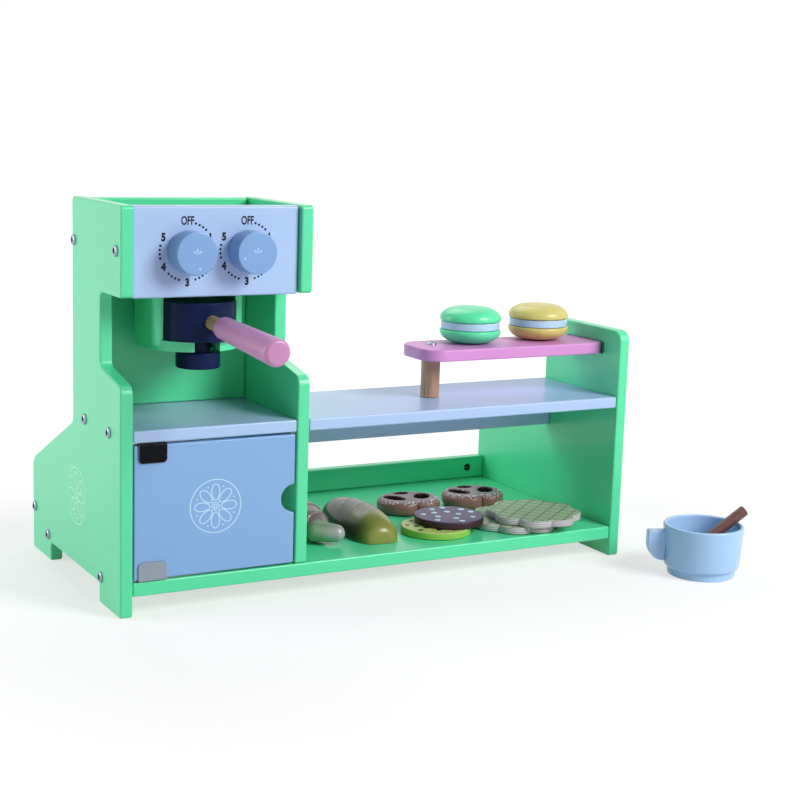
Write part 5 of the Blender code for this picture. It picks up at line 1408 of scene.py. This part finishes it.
def loafLook():
    size = loafSizes
    look = Look("loafCrust", roughness=0.26, coat=0.12, specular=0.4)
    centre = at(size["x"], size["y"], 24.3)
    x, y, z = look.axes(look.shifted(tuple(centre), (0, 0, -size["turn"])))
    bow = y - x * size["slashLean"] + x * x * 12.0
    share = (bow - size["slashStart"] * mm) / (size["slashPitch"] * mm)
    inRange = share.above(-0.02, 0.02) * share.below(size["slashCount"], 0.05)
    near = share.maths("FRACT")
    upward = look.upward().above(0.50, 0.25)
    lip = near.below(0.10, 0.06) * inRange * upward
    shadow = near.above(0.90, 0.06) * inRange * upward
    cloud = look.noise(48.0, 4.0, 0.6)
    fine = look.noise(1000.0, 2.0)
    tone = ((cloud - 0.5) * 0.9 + (fine - 0.5) * 0.25 + 0.5).within()
    nose = look.mixed(tone, (0.190, 0.200, 0.030), (0.290, 0.300, 0.065))
    # The olive nose is the crust colour; the dark grey-green rear is painted shade and painted green reflection of
    # the shop
    back = look.mixed(tone, (0.045, 0.062, 0.040), (0.090, 0.118, 0.080))
    flap = look.mixed(tone, (0.130, 0.105, 0.105), (0.220, 0.180, 0.180))
    base = look.mixed(y.above(-12 * mm, 16 * mm), nose, back)
    ridge = inRange * upward * near.below(0.75, 0.3) * x.above(-9 * mm, 7 * mm)
    base = look.mixed(ridge * 0.75, base, flap)
    base = look.mixed(lip * x.above(-12 * mm, 5 * mm) * 0.45, base, (0.430, 0.380, 0.300))
    base = look.mixed(shadow * 0.35, base, (0.045, 0.040, 0.020))
    # Painted shade: the lower left flank, which faces the machine, is darkened almost to black
    leftFlankShade = x.below(-6 * mm, 7 * mm) * y.above(-38 * mm, 10 * mm) * z.below(15 * mm, 6 * mm)
    look.colour(look.mixed(leftFlankShade * 0.9, base, (0.012, 0.016, 0.006)))
    look.rough((cloud - 0.5) * 0.10 + 0.26)
    look.bump(fine * 0.5 + cloud * 0.5, 0.00004, 0.6)
    return look.material


loaf = newObject("loafBody", loafMesh())
loafPlace = Matrix.Translation(at(loafSizes["x"], loafSizes["y"], 24.3))
loaf.matrix_world = loafPlace @ Matrix.Rotation(loafSizes["turn"], 4, "Z")
settled(loaf, 40)
dressed(loaf, loafLook(), "bread_loaf", ["bread_loaf"])

# Croissant: a bent body that swells and steps at each turn of the dough

croissantSizes = {
    "x": 168.5, "y": 69.0,
    # place across and along, height of the middle, radius
    "spine": [
        (2.2, -27.4, 9.6, 9.4), (0.2, -23.0, 11.2, 11.2), (-0.8, -16.0, 12.4, 12.3), (-0.8, -8.0, 13.2, 13.0),
        (0, 0, 13.5, 13.2),
        (-0.8, 8.0, 13.2, 13.0), (-0.8, 16.0, 12.4, 12.3), (0.2, 23.0, 11.2, 11.2), (2.2, 27.4, 9.6, 9.4),
    ],
    "steps": (0.28, 0.74), "stepHeight": 1.3, "capRings": 8, "capReach": 0.35,
    # horn: start and end across and along, their heights, their radii
    "horn": ((-2.5, 26.6), (9.9, 35.2), (9.5, 8.8), (7.7, 6.6)),
}


def splineAt(points, share):
    # A smooth curve through points of any number of values
    spot = max(0.0, min(len(points) - 1.0, share * (len(points) - 1)))
    index = min(int(spot), len(points) - 2)
    t = spot - index
    p0 = points[max(index - 1, 0)]
    p1, p2 = points[index], points[index + 1]
    p3 = points[min(index + 2, len(points) - 1)]
    found = []
    for a, b, c, d in zip(p0, p1, p2, p3):
        square, cube = 2 * a - 5 * b + 4 * c - d, 3 * b - a - 3 * c + d
        found.append(0.5 * (2 * b + (c - a) * t + square * t * t + cube * t ** 3))
    return found


def foldSwell(side):
    # Each fold ends in a lip over the next one towards the horn
    distance = abs(side)
    for start in croissantSizes["steps"]:
        if distance < start:
            return max(0.0, 1 - (start - distance) / 0.30)
    return 0.0


def croissantRoll():
    size = croissantSizes
    sections, around = 200, 56

    def ringAt(share, forward=0.0, grow=1.0):
        x, y, z, radius = splineAt(size["spine"], share)
        ahead = splineAt(size["spine"], min(1.0, share + 0.01))
        behind = splineAt(size["spine"], max(0.0, share - 0.01))
        heading = Vector((ahead[0] - behind[0], ahead[1] - behind[1], 0)).normalized()
        side = Vector((heading.y, -heading.x, 0))
        middle = Vector((x, y, z)) + heading * forward * radius * size["capReach"]
        ring = []
        for point in range(around):
            angle = 2 * pi * point / around
            lean = 0.05 * sin(angle) * (1 if share > 0.5 else -1)
            swell = foldSwell(2 * share - 1 + lean)
            grown = (radius + size["stepHeight"] * (swell - 0.75)) * grow
            place = middle + side * (grown * cos(angle)) + Vector((0, 0, grown * sin(angle)))
            ring.append((place.x * mm, place.y * mm, max(place.z, 0.0) * mm))
        return ring

    caps = [pi / 2 * step / size["capRings"] for step in range(1, size["capRings"])]
    rings = [ringAt(0.0, -sin(turn), cos(turn)) for turn in reversed(caps)]
    rings += [ringAt(section / sections) for section in range(sections + 1)]
    rings += [ringAt(1.0, sin(turn), cos(turn)) for turn in caps]
    return ringsMesh(rings, "croissant", caps=True)


def croissantHorn(side):
    # A tapered rod with round ends, from inside the roll outwards
    start, end, heights, radii = croissantSizes["horn"]
    near = Vector((start[0], side * start[1], heights[0])) * mm
    far = Vector((end[0], side * end[1], heights[1])) * mm
    length = (far - near).length
    steps = [pi / 2 * step / 12 for step in range(13)]
    profile = [(radii[0] * mm * sin(turn), -radii[0] * mm * cos(turn)) for turn in steps]
    profile += [(radii[1] * mm * cos(turn), length + radii[1] * mm * sin(turn)) for turn in steps]
    horn = newObject("horn", turnedMesh(profile, 56, "horn"))
    return placed(horn, near, far - near)


def croissantLook():
    size = croissantSizes
    look = Look("croissantGlaze", roughness=0.30, coat=0.3)
    centre = at(size["x"], size["y"], 24.3)
    x, y, z = look.axes(look.shifted(tuple(centre)))
    cloud = look.noise(52.0, 4.0, 0.6)
    fine = look.noise(1100.0, 2.0)
    tone = ((cloud - 0.5) * 0.9 + (fine - 0.5) * 0.2 + 0.5).within()
    warm = look.mixed(tone, (0.120, 0.080, 0.078), (0.240, 0.170, 0.165))
    # Below about 12 mm the colour turns green: painted reflection of the green base board
    green = look.mixed(tone, (0.090, 0.130, 0.075), (0.180, 0.230, 0.140))
    base = look.mixed(z.above(12 * mm, 6 * mm), green, warm)
    # The horns carry painted light: green reflection of the board along them, turning to a pale painted highlight at
    # the tips
    beside = x.above(9 * mm, 2 * mm) * y.size().above(24 * mm, 2 * mm)
    horn = y.size().above(28 * mm, 2 * mm).maths("MAXIMUM", beside)
    pale = look.mixed(y.size().above(37 * mm, 4 * mm), (0.230, 0.330, 0.200), (0.420, 0.400, 0.420))
    look.colour(look.mixed(horn * 0.8, base, pale))
    look.rough((cloud - 0.5) * 0.14 + 0.30)
    look.bump(fine * 0.5 + cloud * 0.5, 0.00006, 0.6)
    return look.material


croissant = newObject("croissantBody", croissantRoll())
for side in (-1, 1):
    shaped(croissant, croissantHorn(side), "UNION")
croissant.matrix_world = Matrix.Translation(at(croissantSizes["x"], croissantSizes["y"], 24.3))
settled(croissant, 30)
dressed(croissant, croissantLook(), "croissant", ["croissant"])
print("bakery done")

# Cup with its quarter-round handle, and the stick

cupSizes = {
    "x": 441.0, "y": -67.7, "foot": 25.6, "footHeight": 6.2, "low": 28.4, "rim": 30.5, "height": 39, "wall": 3.0,
    "hollowFoot": 25.4, "floor": 6, "handleTurn": radians(153), "handleThickness": 8.5, "handleRound": 1.8,
}
size = cupSizes
inside = size["rim"] - size["wall"]
corners = [
    (0, 0), (size["foot"], 0), (size["foot"], size["footHeight"]), (size["low"], size["footHeight"]),
    (size["rim"], size["height"]), (inside, size["height"]), (size["hollowFoot"], size["floor"]), (0, size["floor"]),
]
cup = lathe("cupBody", corners, [0, 1.2, 0.4, 2.5, 1.2, 1.2, 2.5, 0], 160, 6)
ear = turnedCorners([(29.0, 33.8), (29.0, 10.6), (43, 10.6), (43, 33.8)], [0, 0, 12.88, 1.8], stepAngle=5)
thick = size["handleThickness"]
handle = newObject("handle", pulled([(u * mm, v * mm) for u, v in ear], "y", -thick / 2 * mm, thick * mm))
settled(rounded(handle, size["handleRound"] * mm, 6))
handle.matrix_world = Matrix.Rotation(size["handleTurn"], 4, "Z")
settled(handle)
shaped(cup, handle, "UNION")
cup.matrix_world = Matrix.Translation(at(size["x"], size["y"], 0))
settled(cup)
dressed(flatLit(cup), cupPaint, "cup", ["cup"])
stickSizes = {"radius": 4.2, "length": 65.2, "rise": radians(37), "heading": radians(-15)}
across = Vector((cos(stickSizes["heading"]), sin(stickSizes["heading"]), 0))
leaning = across * cos(stickSizes["rise"]) + Vector((0, 0, sin(stickSizes["rise"])))
restReach = inside - stickSizes["radius"] * sin(stickSizes["rise"])
restHeight = size["height"] + (stickSizes["radius"] + 0.3) * cos(stickSizes["rise"])
footHeight = size["floor"] + 0.3 + stickSizes["radius"] * cos(stickSizes["rise"])
stickRest = at(size["x"], size["y"], restHeight) + across * restReach * mm
stickFoot = stickRest - leaning * (restHeight - footHeight) / sin(stickSizes["rise"]) * mm
stick = rod("stickBody", stickSizes["radius"], 0, stickSizes["length"], (0.7, 1.1), 64)
placed(stick, stickFoot, leaning)
dressed(stick, stickStain, "stir_stick", ["stir_stick"])
print("cup done")

# Emblem: a round eight-petal flower of fine lines, on the door and the left panel

emblemSizes = {
    "petal": (4.2, 11.2, 3.4), "line": 0.75, "rings": (18.6, 2.6, 2.6 * 0.45), "beadRing": 14.6, "bead": 0.6,
}


def emblem(name, place, facing, scale, ink, body):
    size = emblemSizes
    line = size["line"] * mm * scale
    petal = [(u * mm * scale, v * mm * scale) for u, v in petalOutline(*size["petal"], 32)]
    petalSeed = strokeRing(petal, line, printThickness, "petalSeed")
    petals = repeated(name + "Petals", [(place, facing, pi / 4 * k) for k in range(8)], petalSeed, ink)
    bpy.data.objects.remove(petalSeed)
    rings = []
    for radius in size["rings"]:
        reach = radius * mm * scale
        circle = [(reach * cos(2 * pi * k / 120), reach * sin(2 * pi * k / 120)) for k in range(120)]
        rings.append(strokeRing(circle, line, printThickness, "ring"))
    circles = joined(name + "Rings", rings)
    circles.matrix_world = frontTurn(place, facing)
    settled(circles)
    seedDot = newObject("dotSeed", discMesh(size["bead"] * mm * scale, printThickness, "dot", 24))
    dotPlaces = []
    turn = frontTurn(place, facing)
    for k in range(8):
        angle = pi / 4 * k + pi / 8
        arm = Vector((cos(angle), sin(angle), 0)) * size["beadRing"] * mm * scale
        dotPlaces.append((turn @ arm, facing, 0.0))
    beads = repeated(name + "Beads", dotPlaces, seedDot, ink)
    bpy.data.objects.remove(seedDot)
    for thing in (petals, circles, beads):
        dressed(thing, ink, body)


emblem("doorEmblem", at(68.1, 0.2, 72), (0, -1, 0), 1.0, palePrint, "door")
emblem("panelEmblem", at(0, 92.5, 64.5), (-1, 0, 0), 1.1, mintPrint, "shop")
print("emblems done")

# Floor, light and camera


stageSizes = {
    "floorColour": (0.86, 0.86, 0.87, 1), "glow": 1.15, "reach": 30.0,
    "roomColour": (0.93, 0.95, 1.0, 1), "room": 0.22,
    # where the floor starts and ends to turn white, in metres, and how white it is near and far
    "whiten": (("From Min", 0.25), ("From Max", 0.75), ("To Min", 0.55), ("To Max", 1.0)),
}


def wired(tree, kind, operation, *sources):
    made = tree.nodes.new(kind)
    if operation:
        made.operation = operation
    for place, source in enumerate(sources):
        tree.links.new(source, made.inputs[place])
    return made.outputs[0] if len(made.outputs) else None


def whiteRays(tree):
    # 1 for the rays that see plain white: from the camera, off a gloss, through glass
    path = tree.nodes.new("ShaderNodeLightPath")
    seen = wired(tree, "ShaderNodeMath", "MAXIMUM", path.outputs["Is Camera Ray"], path.outputs["Is Glossy Ray"])
    return wired(tree, "ShaderNodeMath", "MAXIMUM", seen, path.outputs["Is Transmission Ray"])


def plainStage():
    floorMaterial = bpy.data.materials.new("paleFloor")
    floorMaterial.use_nodes = True
    tree = floorMaterial.node_tree
    tree.nodes.clear()
    matt = tree.nodes.new("ShaderNodeBsdfDiffuse")
    matt.inputs["Color"].default_value = stageSizes["floorColour"]
    glow = tree.nodes.new("ShaderNodeEmission")
    glow.inputs["Strength"].default_value = stageSizes["glow"]
    # White grows with the distance from the shop, so that the floor meets the backdrop
    spot = tree.nodes.new("ShaderNodeTexCoord")
    length = tree.nodes.new("ShaderNodeVectorMath")
    length.operation = "LENGTH"
    tree.links.new(spot.outputs["Object"], length.inputs[0])
    away = tree.nodes.new("ShaderNodeMapRange")
    away.interpolation_type = "SMOOTHSTEP"
    for key, number in stageSizes["whiten"]:
        away.inputs[key].default_value = number
    tree.links.new(length.outputs["Value"], away.inputs["Value"])
    share = wired(tree, "ShaderNodeMath", "MULTIPLY", whiteRays(tree), away.outputs[0])
    mixed = wired(tree, "ShaderNodeMixShader", None, share, matt.outputs[0], glow.outputs[0])
    wired(tree, "ShaderNodeOutputMaterial", None, mixed)
    form = bmesh.new()
    reach = stageSizes["reach"]
    form.faces.new([form.verts.new((u, v, 0)) for u, v in boxOutline((-reach, -reach, reach, reach))])
    floor = newObject("floor", meshFrom(form, "floor"))
    floor.data.materials.append(floorMaterial)

    world = bpy.data.worlds.new("studio")
    bpy.context.scene.world = world
    world.use_nodes = True
    tree = world.node_tree
    tree.nodes.clear()
    room = tree.nodes.new("ShaderNodeBackground")
    room.inputs["Color"].default_value = stageSizes["roomColour"]
    room.inputs["Strength"].default_value = stageSizes["room"]
    backdrop = tree.nodes.new("ShaderNodeBackground")
    backdrop.inputs["Color"].default_value = (1, 1, 1, 1)
    mixed = wired(tree, "ShaderNodeMixShader", None, whiteRays(tree), room.outputs[0], backdrop.outputs[0])
    wired(tree, "ShaderNodeOutputWorld", None, mixed)


lamps = {
    # place in the shop in millimetres, what it lights, size, strength, colour
    "keyLamp": ((930, -1190, 1010), (210, 60, 110), 0.7, 24.0, (1.0, 0.99, 0.97)),
    "leftFill": ((-1300, 760, 520), (0, 80, 130), 0.9, 13.5, (0.97, 0.98, 1.0)),
    "backLamp": ((320, 620, 820), (300, 150, 20), 0.6, 2.4, (1.0, 1.0, 1.0)),
}


def studioLamps():
    for name, (place, aim, size, strength, colour) in lamps.items():
        lamp = bpy.data.lights.new(name, "AREA")
        lamp.shape = "SQUARE"
        lamp.size = size
        lamp.energy = strength
        lamp.color = colour
        holder = newObject(name, lamp)
        spot = at(*place)
        turn = (spot - at(*aim)).to_track_quat("Z", "Y").to_matrix().to_4x4()
        holder.matrix_world = Matrix.Translation(spot) @ turn


cameraView = {
    "place": (-345.6, -984.4, 339.5), "azimuth": 29.43, "down": 10.15, "roll": 1.844, "focalPixels": 1598.4,
}


def photoCamera():
    view = cameraView
    a, e, roll = (radians(view[key]) for key in ("azimuth", "down", "roll"))
    forward = Vector((sin(a) * cos(e), cos(a) * cos(e), -sin(e)))
    right = forward.cross(Vector((0, 0, 1))).normalized()
    up = right.cross(forward)
    turnedRight = right * cos(roll) + up * sin(roll)
    turnedUp = up * cos(roll) - right * sin(roll)
    data = bpy.data.cameras.new("photoView")
    data.sensor_width = 36
    data.lens = view["focalPixels"] / 800 * 36
    data.clip_end = 100
    camera = newObject("photoView", data)
    turn = Matrix((turnedRight, turnedUp, -forward)).transposed().to_4x4()
    camera.matrix_world = Matrix.Translation(at(*view["place"])) @ turn
    bpy.context.scene.camera = camera


plainStage()
studioLamps()
photoCamera()
bpy.context.scene.view_settings.view_transform = "Standard"
print("stage done")
